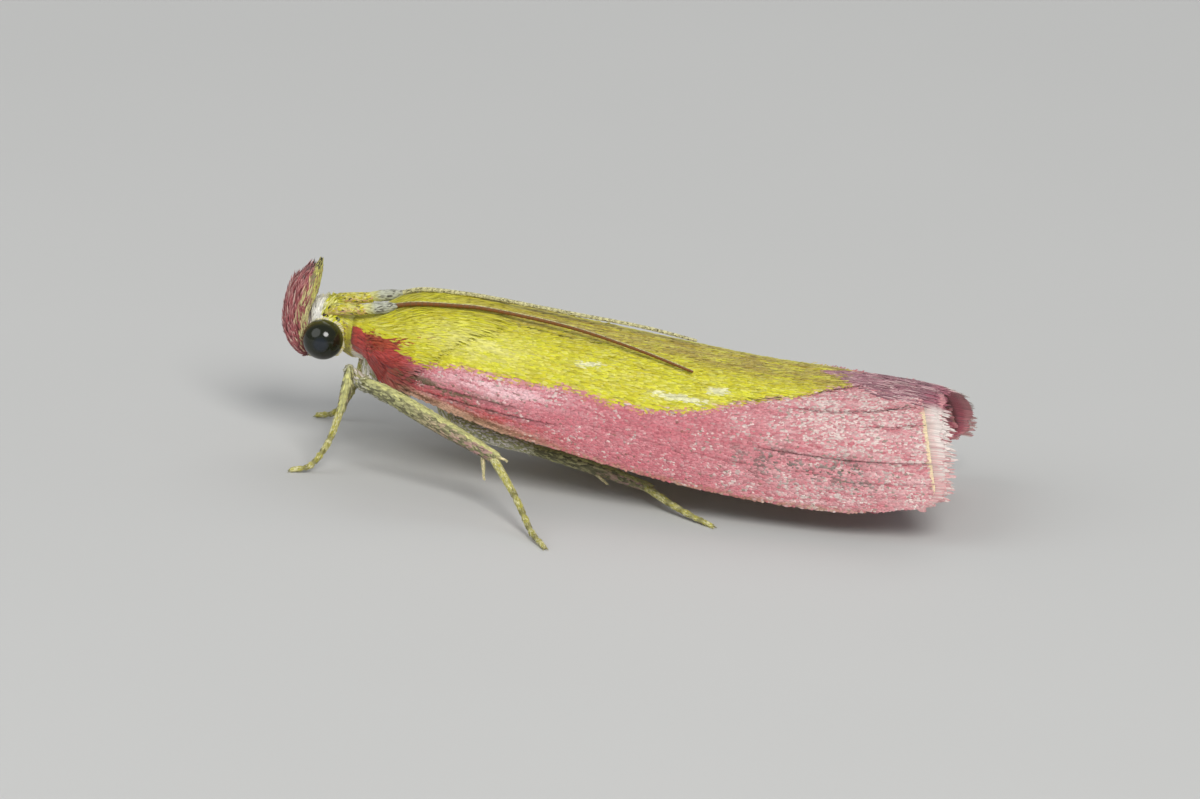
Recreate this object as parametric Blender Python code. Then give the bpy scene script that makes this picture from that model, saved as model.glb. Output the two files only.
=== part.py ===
"""Rosy-striped knot-horn moth, life size, at rest with its wings folded.

The head is towards -X, the moth's left side towards -Y and the ground is z = 0.
The two forewings form one long vault over the body, and every solid under or on
that vault is placed from the vault's own stations.
"""

import math
import random

import bmesh
import bpy
from mathutils import Matrix, Vector

MM = 0.001

# Clearances and the least thickness of thin members
GAP = 0.22 * MM
FINE_GAP = 0.12 * MM
MEMBRANE = 0.46 * MM

# Vault of the folded forewings: x, half width, ridge height, height of the costal edge
VAULT_STATIONS = [
    (-5.3, 1.30, 3.30, 2.20),
    (-4.6, 1.60, 3.46, 1.98),
    (-3.7, 1.88, 3.50, 1.78),
    (-2.4, 2.08, 3.43, 1.45),
    (-1.0, 2.22, 3.28, 1.22),
    (0.6, 2.32, 3.10, 0.94),
    (2.8, 2.38, 2.88, 0.68),
    (4.6, 2.38, 2.80, 0.60),
    (6.2, 2.34, 2.69, 0.66),
    (7.4, 2.28, 2.58, 0.80),
]

# Forewing outline
FOREWING_BASE_X = -4.60 * MM
FOREWING_RIDGE_X = -2.75 * MM
BASE_ANGLE = 48.0
RIDGE_ANGLE = 3.1
COSTA_ANGLE = 89.0
APEX_ANGLE = 80.0
APEX_START_X = 4.6 * MM
TORNUS_X = 5.98 * MM
TERMEN_SLANT = 0.74 * MM
APEX_SHARE = 0.86
APEX_ROUNDING = 0.30 * MM
FOREWING_ROWS = 15

# Veins of the forewing: share of the width from the inner margin, start, end along the wing
FOREWING_VEINS = {
    "anal": (0.13, 0.04, 0.90),
    "claval_fold": (0.29, 0.10, 0.97),
    "cubital_lower": (0.41, 0.52, 1.00),
    "cubital_stem": (0.51, 0.02, 1.00),
    "medial_lower": (0.60, 0.62, 1.00),
    "medial_upper": (0.70, 0.62, 1.00),
    "radial_branch": (0.79, 0.55, 1.00),
    "radial_stem": (0.88, 0.02, 0.98),
    "subcosta": (0.95, 0.00, 0.55),
}
SUNKEN_VEINS = ("claval_fold",)
VEIN_HEIGHT = 0.06 * MM
VEIN_HALF_SHARE = 0.018
VEIN_FADE = 0.07

# Fringe of the forewing
FRINGE_LENGTH = 0.56 * MM
FRINGE_ROOT = 0.16 * MM
FRINGE_COUNT = 12
FRINGE_TIP_THICKNESS = 0.14 * MM
FRINGE_SEED = 7

# Hindwing, folded between forewing and abdomen
HINDWING_BASE_X = -2.38 * MM
HINDWING_END_X = 5.45 * MM
HINDWING_UPPER_ANGLE = 54.0
HINDWING_LOWER_ANGLE = 87.0
HINDWING_ROUNDING = 0.9 * MM
HINDWING_VEINS = (0.24, 0.5, 0.76)
HINDWING_ROWS = 12

# Thorax: x, half width, top, bottom
THORAX_STATIONS = [
    (-5.64, 0.66, 2.94, 2.28),
    (-5.40, 0.98, 3.00, 2.12),
    (-4.95, 1.26, 3.20, 2.00),
    (-4.40, 1.46, 3.40, 1.88),
    (-3.70, 1.56, 3.50, 1.76),
    (-3.05, 1.40, 3.44, 1.70),
    (-2.75, 1.05, 3.30, 1.72),
    (-2.62, 0.62, 2.80, 1.86),
]
THORAX_SIDES = 24

# Abdomen: x, half width, top, bottom
ABDOMEN_STATIONS = [
    (-2.38, 0.50, 2.42, 1.70),
    (-2.20, 0.72, 2.62, 1.48),
    (-1.20, 0.80, 2.62, 1.30),
    (0.60, 0.80, 2.42, 1.14),
    (2.60, 0.70, 2.16, 1.02),
    (4.00, 0.50, 1.94, 1.06),
    (4.60, 0.34, 1.80, 1.16),
]
ABDOMEN_SEGMENTS = 8
ABDOMEN_STEP = 0.05 * MM
ABDOMEN_SIDES = 18
ANAL_LOCKS = 6

# Head and eyes
HEAD_CENTRE = (-6.12, 0.0, 2.70)
HEAD_RADII = (0.50, 0.64, 0.47)
EYE_CENTRE = (-6.22, 0.52, 2.48)
EYE_RADIUS = 0.41 * MM
EYE_SEAT = 0.42 * MM

# Labial palps: scaled second joint, slender third joint (x, y, z, radius)
PALP_STATIONS = [
    (-6.54, 0.26, 2.06, 0.12),
    (-6.72, 0.27, 2.18, 0.15),
    (-6.83, 0.27, 2.48, 0.16),
    (-6.91, 0.26, 2.88, 0.17),
    (-6.84, 0.24, 3.28, 0.17),
    (-6.73, 0.22, 3.60, 0.10),
]
PALP_TIP_STATIONS = [
    (-6.74, 0.21, 3.20, 0.14),
    (-6.60, 0.18, 3.56, 0.12),
    (-6.47, 0.15, 3.86, 0.09),
    (-6.38, 0.12, 4.06, 0.05),
]
PALP_LOCKS = 7
PALP_LOCK_LENGTH = 0.50 * MM
PALP_LOCK_WIDTH = 0.30 * MM
PALP_LOCK_THICKNESS = 0.24 * MM

# Antennae: scape, tuft of scales on the bent base of the flagellum, and flagellum
SCAPE_STATIONS = [
    (-6.08, 0.36, 3.22, 0.14),
    (-5.94, 0.37, 3.26, 0.18),
    (-5.55, 0.40, 3.31, 0.19),
    (-5.28, 0.42, 3.36, 0.17),
]
KNOT_STATIONS = [
    (-5.42, 0.41, 3.34, 0.10),
    (-5.25, 0.42, 3.39, 0.21),
    (-5.00, 0.43, 3.47, 0.24),
    (-4.72, 0.44, 3.57, 0.17),
    (-4.55, 0.45, 3.62, 0.08),
]
# Flagellum: x and angle on the vault that it lies along, left and right
FLAGELLUM_REACH = {
    "left": [(-4.3, 17.0), (-2.8, 20.0), (-1.2, 22.5), (0.2, 25.5), (1.47, 29.0)],
    "right": [(-4.3, 15.0), (-2.8, 9.0), (-1.2, 6.5), (0.2, 6.0), (1.36, 7.0)],
}
FLAGELLUM_RADII = (0.20 * MM, 0.11 * MM)
FLAGELLUM_RINGS = 22
KNOT_LOCKS = 5

# Legs: named joints of one side (x, y, z), radii along them
LEGS = {
    "fore": {
        "coxa": [(-5.22, 0.42, 1.84, 0.20), (-5.16, 0.55, 1.60, 0.27), (-5.06, 0.76, 1.34, 0.22)],
        "femur": [(-5.04, 0.74, 1.36, 0.20), (-5.30, 1.00, 1.62, 0.28), (-5.58, 1.34, 1.96, 0.22)],
        "tibia": [(-5.56, 1.36, 2.02, 0.22), (-5.57, 1.44, 1.76, 0.26), (-5.60, 1.54, 1.44, 0.24)],
        "tarsus": [(-5.60, 1.53, 1.50, 0.24), (-5.80, 1.68, 0.74, 0.22), (-6.12, 1.76, 0.22, 0.20),
                   (-6.54, 1.82, 0.12, 0.17)],
        "spurs": [],
    },
    "mid": {
        "coxa": [(-4.52, 0.45, 1.56, 0.22), (-4.50, 0.62, 1.36, 0.28), (-4.42, 0.92, 1.20, 0.22)],
        "femur": [(-4.40, 0.88, 1.22, 0.22), (-4.74, 1.50, 1.70, 0.30), (-5.10, 2.14, 2.18, 0.23)],
        "tibia": [(-5.14, 2.16, 2.24, 0.22), (-4.00, 2.48, 1.86, 0.29), (-2.26, 2.92, 1.20, 0.28)],
        "tarsus": [(-2.34, 2.90, 1.24, 0.25), (-1.70, 3.56, 0.66, 0.23), (-1.24, 4.30, 0.20, 0.21),
                   (-0.84, 4.92, 0.12, 0.17)],
        "spurs": [((-2.30, 2.90, 1.16), (-1.80, 3.10, 0.98)), ((-2.50, 2.84, 1.20), (-2.44, 2.98, 0.72))],
    },
    "hind": {
        "coxa": [(-3.62, 0.46, 1.36, 0.22), (-3.56, 0.62, 1.22, 0.28), (-3.40, 0.78, 1.10, 0.22)],
        "femur": [(-3.42, 0.76, 1.12, 0.22), (-2.60, 0.98, 0.96, 0.27), (-1.70, 1.14, 0.84, 0.22)],
        "tibia": [(-1.74, 1.14, 0.85, 0.22), (-0.50, 1.26, 0.68, 0.24), (0.76, 1.46, 0.42, 0.24)],
        "tarsus": [(0.70, 1.46, 0.44, 0.23), (1.24, 1.80, 0.28, 0.22), (1.76, 2.12, 0.18, 0.20),
                   (2.26, 2.40, 0.12, 0.17)],
        "spurs": [((0.72, 1.48, 0.42), (1.12, 1.42, 0.26)), ((-0.42, 1.28, 0.60), (-0.06, 1.52, 0.38))],
    },
}
LEG_SIDES = 8
SPUR_RADII = (0.15 * MM, 0.05 * MM)

# Colours: base colour, roughness
COLOURS = {
    "forewing_scales": ((0.62, 0.16, 0.22), 0.55),
    "hindwing_scales": ((0.50, 0.42, 0.36), 0.60),
    "yellow_coat": ((0.72, 0.60, 0.08), 0.60),
    "pink_tuft": ((0.55, 0.16, 0.22), 0.65),
    "eye_dark": ((0.02, 0.02, 0.025), 0.12),
    "antenna_brown": ((0.42, 0.22, 0.10), 0.55),
    "leg_cream": ((0.62, 0.58, 0.30), 0.60),
    "abdomen_cream": ((0.60, 0.52, 0.36), 0.65),
}
SIDES = {"left": -1.0, "right": 1.0}


def clear_scene():
    """Remove whatever the scene starts with."""
    for obj in list(bpy.data.objects):
        bpy.data.objects.remove(obj, do_unlink=True)


def coloured(name):
    """Principled material of one named colour."""
    made = bpy.data.materials.get(name)
    if made:
        return made
    colour, roughness = COLOURS[name]
    made = bpy.data.materials.new(name)
    made.use_nodes = True
    surface = made.node_tree.nodes["Principled BSDF"]
    surface.inputs["Base Color"].default_value = (*colour, 1.0)
    surface.inputs["Roughness"].default_value = roughness
    surface.inputs["Metallic"].default_value = 0.0
    return made


def finish_mesh(bm, name, colour):
    """Turn a bmesh into a scene object with outward faces and its own material."""
    bmesh.ops.recalc_face_normals(bm, faces=bm.faces)
    mesh = bpy.data.meshes.new(name)
    bm.to_mesh(mesh)
    bm.free()
    mesh.shade_smooth()
    mesh.set_sharp_from_angle(angle=math.radians(50.0))
    obj = bpy.data.objects.new(name, mesh)
    obj.data.materials.append(coloured(colour))
    bpy.context.scene.collection.objects.link(obj)
    return obj


def station_values(stations, x):
    """Smooth values at x, read from a short list of stations by a cubic through them."""
    if x <= stations[0][0]:
        return list(stations[0][1:])
    if x >= stations[-1][0]:
        return list(stations[-1][1:])
    last = len(stations) - 1
    index = max(i for i in range(last) if stations[i][0] <= x)
    start, end = stations[index], stations[index + 1]
    before, after = stations[max(index - 1, 0)], stations[min(index + 2, last)]
    span = end[0] - start[0]
    t = (x - start[0]) / span
    values = []
    for k in range(1, len(start)):
        slope_in = (end[k] - before[k]) / (end[0] - before[0]) * span
        slope_out = (after[k] - start[k]) / (after[0] - start[0]) * span
        values.append(
            start[k] * (2 * t**3 - 3 * t**2 + 1)
            + slope_in * (t**3 - 2 * t**2 + t)
            + end[k] * (3 * t**2 - 2 * t**3)
            + slope_out * (t**3 - t**2)
        )
    return values


def vault_point(side, x, angle, depth=0.0):
    """Point of the wing vault: angle 0 on the ridge, 90 at the costal edge, depth inwards."""
    half, ridge, foot = (value * MM for value in station_values(VAULT_STATIONS, x / MM))
    rise = ridge - foot
    turn = math.radians(angle)
    outward = Vector((math.sin(turn) / half, math.cos(turn) / rise)).normalized()
    y = half * math.sin(turn) - depth * outward.x
    z = foot + rise * math.cos(turn) - depth * outward.y
    return Vector((x, side * y, z))


def smooth_step(value, low, high):
    """0 below low, 1 above high, and an even curve between."""
    t = min(max((value - low) / (high - low), 0.0), 1.0)
    return t * t * (3.0 - 2.0 * t)


def forewing_angles(x):
    """Vault angles of the inner margin and of the costa at x."""
    rise = smooth_step(x, FOREWING_BASE_X, FOREWING_RIDGE_X)
    inner = BASE_ANGLE + (RIDGE_ANGLE - BASE_ANGLE) * rise
    drop = smooth_step(x, APEX_START_X, TORNUS_X + TERMEN_SLANT)
    outer = COSTA_ANGLE + (APEX_ANGLE - COSTA_ANGLE) * drop
    return inner, outer


def termen_x(share):
    """End of the membrane at a share of the width: oblique, with a rounded apex."""
    past = max(share - APEX_SHARE, 0.0) / (1.0 - APEX_SHARE)
    return TORNUS_X + TERMEN_SLANT * min(share, APEX_SHARE) - APEX_ROUNDING * past**2


def vein_relief(share, along):
    """Height of the vein that runs at this share of the width, or 0 between veins."""
    for name, (centre, start, end) in FOREWING_VEINS.items():
        if abs(share - centre) < 1e-6:
            strength = smooth_step(along, start, start + VEIN_FADE)
            strength *= 1.0 - smooth_step(along, end, end + VEIN_FADE)
            return VEIN_HEIGHT * strength * (-1.0 if name in SUNKEN_VEINS else 1.0)
    return 0.0


def forewing_point(side, along, share, depth):
    """Point of the forewing: along from base to termen, share from inner margin to costa."""
    x = FOREWING_BASE_X + along * (termen_x(share) - FOREWING_BASE_X)
    inner, outer = forewing_angles(x)
    return vault_point(side, x, inner + (outer - inner) * share, depth - vein_relief(share, along))


def vein_columns(centres, half_share):
    """Shares across a wing: both edges, and the foot, crest and foot of every vein."""
    shares = {0.0, 1.0}
    for centre in centres:
        shares |= {centre - half_share, centre, centre + half_share}
    return sorted(shares)


def membrane(name, columns, rows, place, colour):
    """Thin shell: a triangulated grid, extruded once and laid on its two surfaces."""
    bm = bmesh.new()
    across, down = len(columns) - 1, len(rows) - 1
    bmesh.ops.create_grid(bm, x_segments=across, y_segments=down, size=0.5)
    bmesh.ops.triangulate(bm, faces=bm.faces)
    lifted = bmesh.ops.extrude_face_region(bm, geom=bm.faces[:])["geom"]
    for item in lifted:
        if isinstance(item, bmesh.types.BMVert):
            item.co.z = 1.0
    for vert in bm.verts:
        share = columns[round((vert.co.x + 0.5) * across)]
        along = rows[round((vert.co.y + 0.5) * down)]
        vert.co = place(along, share, vert.co.z > 0.5)
    return finish_mesh(bm, name, colour)


def side_frames(points):
    """Two directions across a path at each of its points, carried along without twist."""
    frames = []
    side = None
    for i, point in enumerate(points):
        tangent = (points[min(i + 1, len(points) - 1)] - points[max(i - 1, 0)]).normalized()
        if side is None:
            side = tangent.cross(Vector((0.0, 0.0, 1.0)))
            if side.length < 0.2:
                side = tangent.cross(Vector((0.0, 1.0, 0.0)))
        side = (side - tangent * side.dot(tangent)).normalized()
        frames.append((point, side, side.cross(tangent).normalized()))
    return frames


def loft(name, loops, sides, colour):
    """Closed body through elliptical rings: (centre, across, up, width, height)."""
    bm = bmesh.new()
    rings = []
    for centre, across, up, width, height in loops:
        frame = Matrix((across * width, up * height, across.cross(up))).transposed().to_4x4()
        made = bmesh.ops.create_circle(
            bm, segments=sides, radius=1.0, matrix=Matrix.Translation(centre) @ frame
        )
        rings.append(list({edge for vert in made["verts"] for edge in vert.link_edges}))
    for first, second in zip(rings, rings[1:]):
        bmesh.ops.bridge_loops(bm, edges=first + second)
    for end in (rings[0], rings[-1]):
        bmesh.ops.edgeloop_fill(bm, edges=end)
    return finish_mesh(bm, name, colour)


def limb(name, points, radii, colour, sides=LEG_SIDES, cap=0.55):
    """Round tapering member along a path, with domed ends."""
    frames = side_frames(points)
    first = (points[0] - points[1]).normalized()
    last = (points[-1] - points[-2]).normalized()
    loops = [(points[0] + first * radii[0] * cap, *frames[0][1:], radii[0] * 0.5, radii[0] * 0.5)]
    for (point, across, up), radius in zip(frames, radii):
        loops.append((point, across, up, radius, radius))
    loops.append(
        (points[-1] + last * radii[-1] * cap, *frames[-1][1:], radii[-1] * 0.5, radii[-1] * 0.5)
    )
    return loft(name, loops, sides, colour)


def mirrored(values, side):
    """Point in metres from millimetre values of the right side."""
    return Vector((values[0] * MM, side * values[1] * MM, values[2] * MM))


def limb_of_stations(name, stations, side, colour, sides=LEG_SIDES):
    """Member through stations (x, y, z, radius) given in millimetres."""
    points = [mirrored(station, side) for station in stations]
    return limb(name, points, [station[3] * MM for station in stations], colour, sides)


def smooth_path(points, count):
    """Evenly counted points on a smooth curve through hand-set points."""
    keyed = [(float(i), *point) for i, point in enumerate(points)]
    last = len(points) - 1
    return [Vector(station_values(keyed, last * i / (count - 1))) for i in range(count)]


def scale_lock(name, path, widths, thicknesses, across, colour):
    """Flat tapered lock along a short path, its broad side turned to across."""
    loops = []
    for i, point in enumerate(path):
        tangent = (path[min(i + 1, len(path) - 1)] - path[max(i - 1, 0)]).normalized()
        wide = (across - tangent * across.dot(tangent)).normalized()
        loops.append((point, wide, wide.cross(tangent).normalized(), widths[i] / 2, thicknesses[i] / 2))
    return loft(name, loops, 6, colour)


def fuse(base, parts, solver="EXACT"):
    """Join parts to base by one Boolean union and keep the largest closed surface."""
    if parts:
        group = bpy.data.collections.new(base.name + "_parts")
        for part in parts:
            bpy.context.scene.collection.objects.unlink(part)
            group.objects.link(part)
        bpy.context.scene.collection.children.link(group)
        apply_boolean(base, "UNION", solver, collection=group)
        for part in parts:
            bpy.data.objects.remove(part, do_unlink=True)
        bpy.data.collections.remove(group)
    keep_largest(base)
    return base


def apply_boolean(base, operation, solver="EXACT", collection=None, cutter=None):
    """Apply one Boolean modifier to base."""
    modifier = base.modifiers.new("boolean", "BOOLEAN")
    modifier.operation = operation
    modifier.solver = solver
    if collection:
        modifier.operand_type = "COLLECTION"
        modifier.collection = collection
    else:
        modifier.object = cutter
    graph = bpy.context.evaluated_depsgraph_get()
    result = bpy.data.meshes.new_from_object(base.evaluated_get(graph))
    base.modifiers.clear()
    base.data = result


def cut_away(base, cutters):
    """Cut each helper from base and remove the helper."""
    for cutter in cutters:
        apply_boolean(base, "DIFFERENCE", cutter=cutter)
        bpy.data.objects.remove(cutter, do_unlink=True)
    keep_largest(base)


def keep_largest(obj):
    """Keep the closed surface of greatest volume."""
    bm = bmesh.new()
    bm.from_mesh(obj.data)
    left = set(bm.faces)
    shells = []
    while left:
        stack = [left.pop()]
        shell = set(stack)
        while stack:
            face = stack.pop()
            near = {other for edge in face.edges for other in edge.link_faces} & left
            left -= near
            shell |= near
            stack.extend(near)
        shells.append(shell)
    if len(shells) > 1:
        shells.sort(key=surface_volume)
        loose = [face for shell in shells[:-1] for face in shell]
        bmesh.ops.delete(bm, geom=loose, context="FACES")
        bm.to_mesh(obj.data)
    bm.free()


def surface_volume(faces):
    """Volume inside a set of faces."""
    total = 0.0
    for face in faces:
        corners = [vert.co for vert in face.verts]
        for second, third in zip(corners[1:], corners[2:]):
            total += corners[0].dot(second.cross(third)) / 6.0
    return total


def ellipsoid(name, centre, radii, colour, columns=24, rows=14):
    """UV sphere at its place and size."""
    bm = bmesh.new()
    place = Matrix.Translation(centre) @ Matrix.Diagonal((*radii, 1.0))
    bmesh.ops.create_uvsphere(bm, u_segments=columns, v_segments=rows, radius=1.0, matrix=place)
    return finish_mesh(bm, name, colour)


def half_ball(name, side, grow, colour, columns=22, rows=12):
    """Eye ball, or its seat when grown: a sphere cut flat on its inner side."""
    bm = bmesh.new()
    centre = mirrored(EYE_CENTRE, side)
    turned = Matrix.Translation(centre) @ Matrix.Rotation(math.radians(90.0), 4, "X")
    bmesh.ops.create_uvsphere(
        bm, u_segments=columns, v_segments=rows, radius=EYE_RADIUS + grow, matrix=turned
    )
    seat = Vector((0.0, side * (EYE_SEAT - grow), 0.0))
    cut = bmesh.ops.bisect_plane(
        bm,
        geom=bm.verts[:] + bm.edges[:] + bm.faces[:],
        plane_co=seat,
        plane_no=(0.0, -side, 0.0),
        clear_outer=True,
    )
    rim = [item for item in cut["geom_cut"] if isinstance(item, bmesh.types.BMEdge)]
    bmesh.ops.edgeloop_fill(bm, edges=rim)
    return finish_mesh(bm, name, colour)


def body_of_stations(name, stations, xs, sides, colour, steps=None):
    """Trunk along X through stations (x, half width, top, bottom)."""
    loops = []
    for i, x in enumerate(xs):
        half, top, bottom = station_values(stations, x)
        narrowing = steps[i] if steps else 0.0
        centre = Vector((x * MM, 0.0, (top + bottom) / 2 * MM))
        width = half * MM - narrowing
        height = (top - bottom) / 2 * MM - narrowing
        loops.append((centre, Vector((0.0, 1.0, 0.0)), Vector((0.0, 0.0, 1.0)), width, height))
    return loft(name, loops, sides, colour)


def spread(start, end, count):
    """Evenly spaced values with both ends."""
    return [start + (end - start) * i / (count - 1) for i in range(count)]


def wing_clearance(side):
    """Helper solid: the forewing's base with its clearance, cut out of the thorax."""
    rows = spread(FOREWING_BASE_X - GAP, FOREWING_RIDGE_X + 1.2 * MM, 14)
    shares = spread(0.0, 1.0, 8)

    def place(x, share, outside):
        inner, outer = forewing_angles(x)
        half = station_values(VAULT_STATIONS, x / MM)[0] * MM
        inner -= math.degrees(GAP / half)
        angle = inner + (outer + 25.0 - inner) * share
        return vault_point(side, x, angle, -0.6 * MM if outside else MEMBRANE + GAP)

    return membrane("wing_clearance", shares, rows, place, "yellow_coat")


def build_forewing(side_name):
    """Forewing with raised veins and its fringe of flat locks."""
    side = SIDES[side_name]
    columns = vein_columns([vein[0] for vein in FOREWING_VEINS.values()], VEIN_HALF_SHARE)
    wing = membrane(
        f"forewing_{side_name}",
        columns,
        spread(0.0, 1.0, FOREWING_ROWS),
        lambda along, share, inner: forewing_point(side, along, share, MEMBRANE if inner else 0.0),
        "forewing_scales",
    )
    return fuse(wing, fringe_locks(side, random.Random(FRINGE_SEED)))


def fringe_locks(side, draw):
    """Overlapping flat locks along the termen, from the tornus to the apex."""
    locks = []
    for i in range(FRINGE_COUNT):
        share = (i + 0.5) / FRINGE_COUNT
        end = termen_x(share)
        inner, outer = forewing_angles(end)
        angle = inner + (outer - inner) * share
        pitch = (outer - inner) / FRINGE_COUNT
        half = station_values(VAULT_STATIONS, end / MM)[0] * MM
        width = math.radians(pitch) * half
        length = FRINGE_LENGTH * draw.uniform(0.86, 1.0)
        lean = draw.uniform(-0.12, 0.12) * pitch
        reach = (-FRINGE_ROOT, 0.35 * length, 0.75 * length, length)
        path = [
            vault_point(side, end + step, angle + lean * k, MEMBRANE / 2)
            for k, step in enumerate(reach)
        ]
        across = vault_point(side, end, angle + 1.0) - vault_point(side, end, angle - 1.0)
        widths = [width * scale for scale in (1.0, 1.02, 0.85, 0.34)]
        thicknesses = [MEMBRANE * 0.8, MEMBRANE * 0.8, MEMBRANE * 0.55, FRINGE_TIP_THICKNESS]
        locks.append(scale_lock(f"fringe_{i}", path, widths, thicknesses, across, "forewing_scales"))
    return locks


def build_hindwing(side_name):
    """Hindwing folded along the flank, between forewing and abdomen."""
    side = SIDES[side_name]

    def place(along, share, inner):
        edge = abs(2.0 * share - 1.0)
        end = HINDWING_END_X - HINDWING_ROUNDING * edge**2
        x = HINDWING_BASE_X + along * (end - HINDWING_BASE_X)
        angle = HINDWING_UPPER_ANGLE + (HINDWING_LOWER_ANGLE - HINDWING_UPPER_ANGLE) * share
        relief = VEIN_HEIGHT if min(abs(share - vein) for vein in HINDWING_VEINS) < 1e-6 else 0.0
        depth = MEMBRANE + GAP + VEIN_HEIGHT - relief
        return vault_point(side, x, angle, depth + MEMBRANE if inner else depth)

    columns = vein_columns(HINDWING_VEINS, 0.06)
    rows = spread(0.0, 1.0, HINDWING_ROWS)
    return membrane(f"hindwing_{side_name}", columns, rows, place, "hindwing_scales")


def build_thorax():
    """Thorax, cut clear of the forewing bases, the head and the antennae."""
    start, end = THORAX_STATIONS[0][0], THORAX_STATIONS[-1][0]
    thorax = body_of_stations(
        "thorax", THORAX_STATIONS, spread(start, end, 18), THORAX_SIDES, "yellow_coat"
    )
    grown = [(radius * MM + GAP) for radius in HEAD_RADII]
    head_seat = ellipsoid("head_seat", mirrored(HEAD_CENTRE, 1.0), grown, "yellow_coat")
    cut_away(thorax, [wing_clearance(side) for side in SIDES.values()] + [head_seat])
    return thorax


def build_abdomen():
    """Abdomen of stepped segments with a small tuft of locks at its end."""
    start, end = ABDOMEN_STATIONS[0][0], ABDOMEN_STATIONS[-1][0]
    xs, steps = [start], [0.0]
    joints = spread(start + 0.12, end, ABDOMEN_SEGMENTS + 1)
    for front, back in zip(joints, joints[1:]):
        xs += [front + 0.04, back - 0.04]
        steps += [ABDOMEN_STEP, 0.0]
    abdomen = body_of_stations("abdomen", ABDOMEN_STATIONS, xs, ABDOMEN_SIDES, "abdomen_cream", steps)
    half, top, bottom = (value * MM for value in ABDOMEN_STATIONS[-1][1:])
    middle = (top + bottom) / 2
    locks = []
    for i in range(ANAL_LOCKS):
        turn = math.tau * i / ANAL_LOCKS
        out = Vector((0.0, math.cos(turn), math.sin(turn)))
        root = Vector((end * MM - 0.25 * MM, 0.0, middle)) + out * half * 0.45
        path = [
            root,
            root + Vector((0.45 * MM, 0.0, 0.0)) + out * 0.03 * MM,
            root + Vector((0.75 * MM, 0.0, 0.0)) - out * 0.04 * MM,
        ]
        across = out.cross(Vector((1.0, 0.0, 0.0)))
        widths = [0.34 * MM, 0.30 * MM, 0.10 * MM]
        locks.append(
            scale_lock(f"anal_{i}", path, widths, [0.30 * MM, 0.24 * MM, 0.08 * MM], across, "abdomen_cream")
        )
    return fuse(abdomen, locks)


def build_head():
    """Head capsule with flat seats for the eyes and clear of the scapes."""
    radii = [radius * MM for radius in HEAD_RADII]
    head = ellipsoid("head", mirrored(HEAD_CENTRE, 1.0), radii, "yellow_coat")
    cutters = []
    for side in SIDES.values():
        cutters.append(half_ball("eye_seat", side, FINE_GAP, "yellow_coat"))
        root = mirrored(SCAPE_STATIONS[0], side)
        grown = SCAPE_STATIONS[1][3] * MM + FINE_GAP
        cutters.append(ellipsoid("scape_seat", root, [grown] * 3, "yellow_coat"))
    cut_away(head, cutters)
    return head


def build_palp(side_name):
    """Upturned labial palp: scaled joint with overlapping locks, and a slender tip."""
    side = SIDES[side_name]
    palp = limb_of_stations(f"palp_{side_name}", PALP_STATIONS, side, "pink_tuft")
    parts = [limb_of_stations("palp_tip", PALP_TIP_STATIONS, side, "pink_tuft")]
    spine = smooth_path([mirrored(station, side) for station in PALP_STATIONS], 24)
    for i in range(PALP_LOCKS):
        place = 5 + 2 * i
        root = spine[place]
        tangent = (spine[place + 1] - spine[place - 1]).normalized()
        front = Vector((tangent.z, 0.0, -tangent.x)) * -1.0
        stretch = PALP_LOCK_LENGTH * (1.0 + 0.35 * i / PALP_LOCKS)
        path = [
            root + front * 0.02 * MM,
            root + tangent * stretch * 0.45 + front * 0.10 * MM,
            root + tangent * stretch * 0.85 + front * 0.12 * MM,
            root + tangent * stretch * 1.15 + front * 0.09 * MM,
        ]
        widths = [PALP_LOCK_WIDTH * scale for scale in (0.9, 1.0, 0.75, 0.25)]
        thick = [PALP_LOCK_THICKNESS * scale for scale in (1.0, 0.95, 0.7, 0.3)]
        parts.append(scale_lock(f"palp_lock_{i}", path, thick, widths, Vector((0.0, 1.0, 0.0)), "pink_tuft"))
    return fuse(palp, parts)


def build_antenna(side_name):
    """Scape, scale tuft of the knot, and tapering flagellum laid back over the wings."""
    side = SIDES[side_name]
    name = f"antenna_{side_name}"
    scape = limb_of_stations(name, SCAPE_STATIONS, side, "antenna_brown", sides=10)
    thick, thin = FLAGELLUM_RADII
    reach = FLAGELLUM_REACH[side_name]
    keys = [mirrored(KNOT_STATIONS[2], side)]
    for i, (x, angle) in enumerate(reach, start=1):
        radius = thick + (thin - thick) * i / len(reach)
        keys.append(vault_point(side, x * MM, angle, -(radius + FINE_GAP)))
    path = smooth_path(keys, FLAGELLUM_RINGS)
    radii = spread(thick, thin, FLAGELLUM_RINGS)
    parts = [
        limb_of_stations("knot", KNOT_STATIONS, side, "antenna_brown", sides=10),
        limb("flagellum", path, radii, "antenna_brown"),
    ]
    for i in range(KNOT_LOCKS):
        turn = math.radians(-60.0 + 60.0 * i)
        out = Vector((0.0, math.sin(turn), math.cos(turn)))
        root = mirrored(KNOT_STATIONS[2], side) + out * 0.12 * MM
        ahead = (mirrored(KNOT_STATIONS[4], side) - mirrored(KNOT_STATIONS[1], side)).normalized()
        path = [
            root - ahead * 0.05 * MM,
            root + ahead * 0.22 * MM + out * 0.10 * MM,
            root + ahead * 0.50 * MM + out * 0.08 * MM,
        ]
        widths = [0.26 * MM, 0.24 * MM, 0.07 * MM]
        parts.append(
            scale_lock(f"knot_lock_{i}", path, widths, [0.16 * MM, 0.13 * MM, 0.06 * MM],
                       out.cross(ahead), "antenna_brown")
        )
    return fuse(scape, parts)


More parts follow.
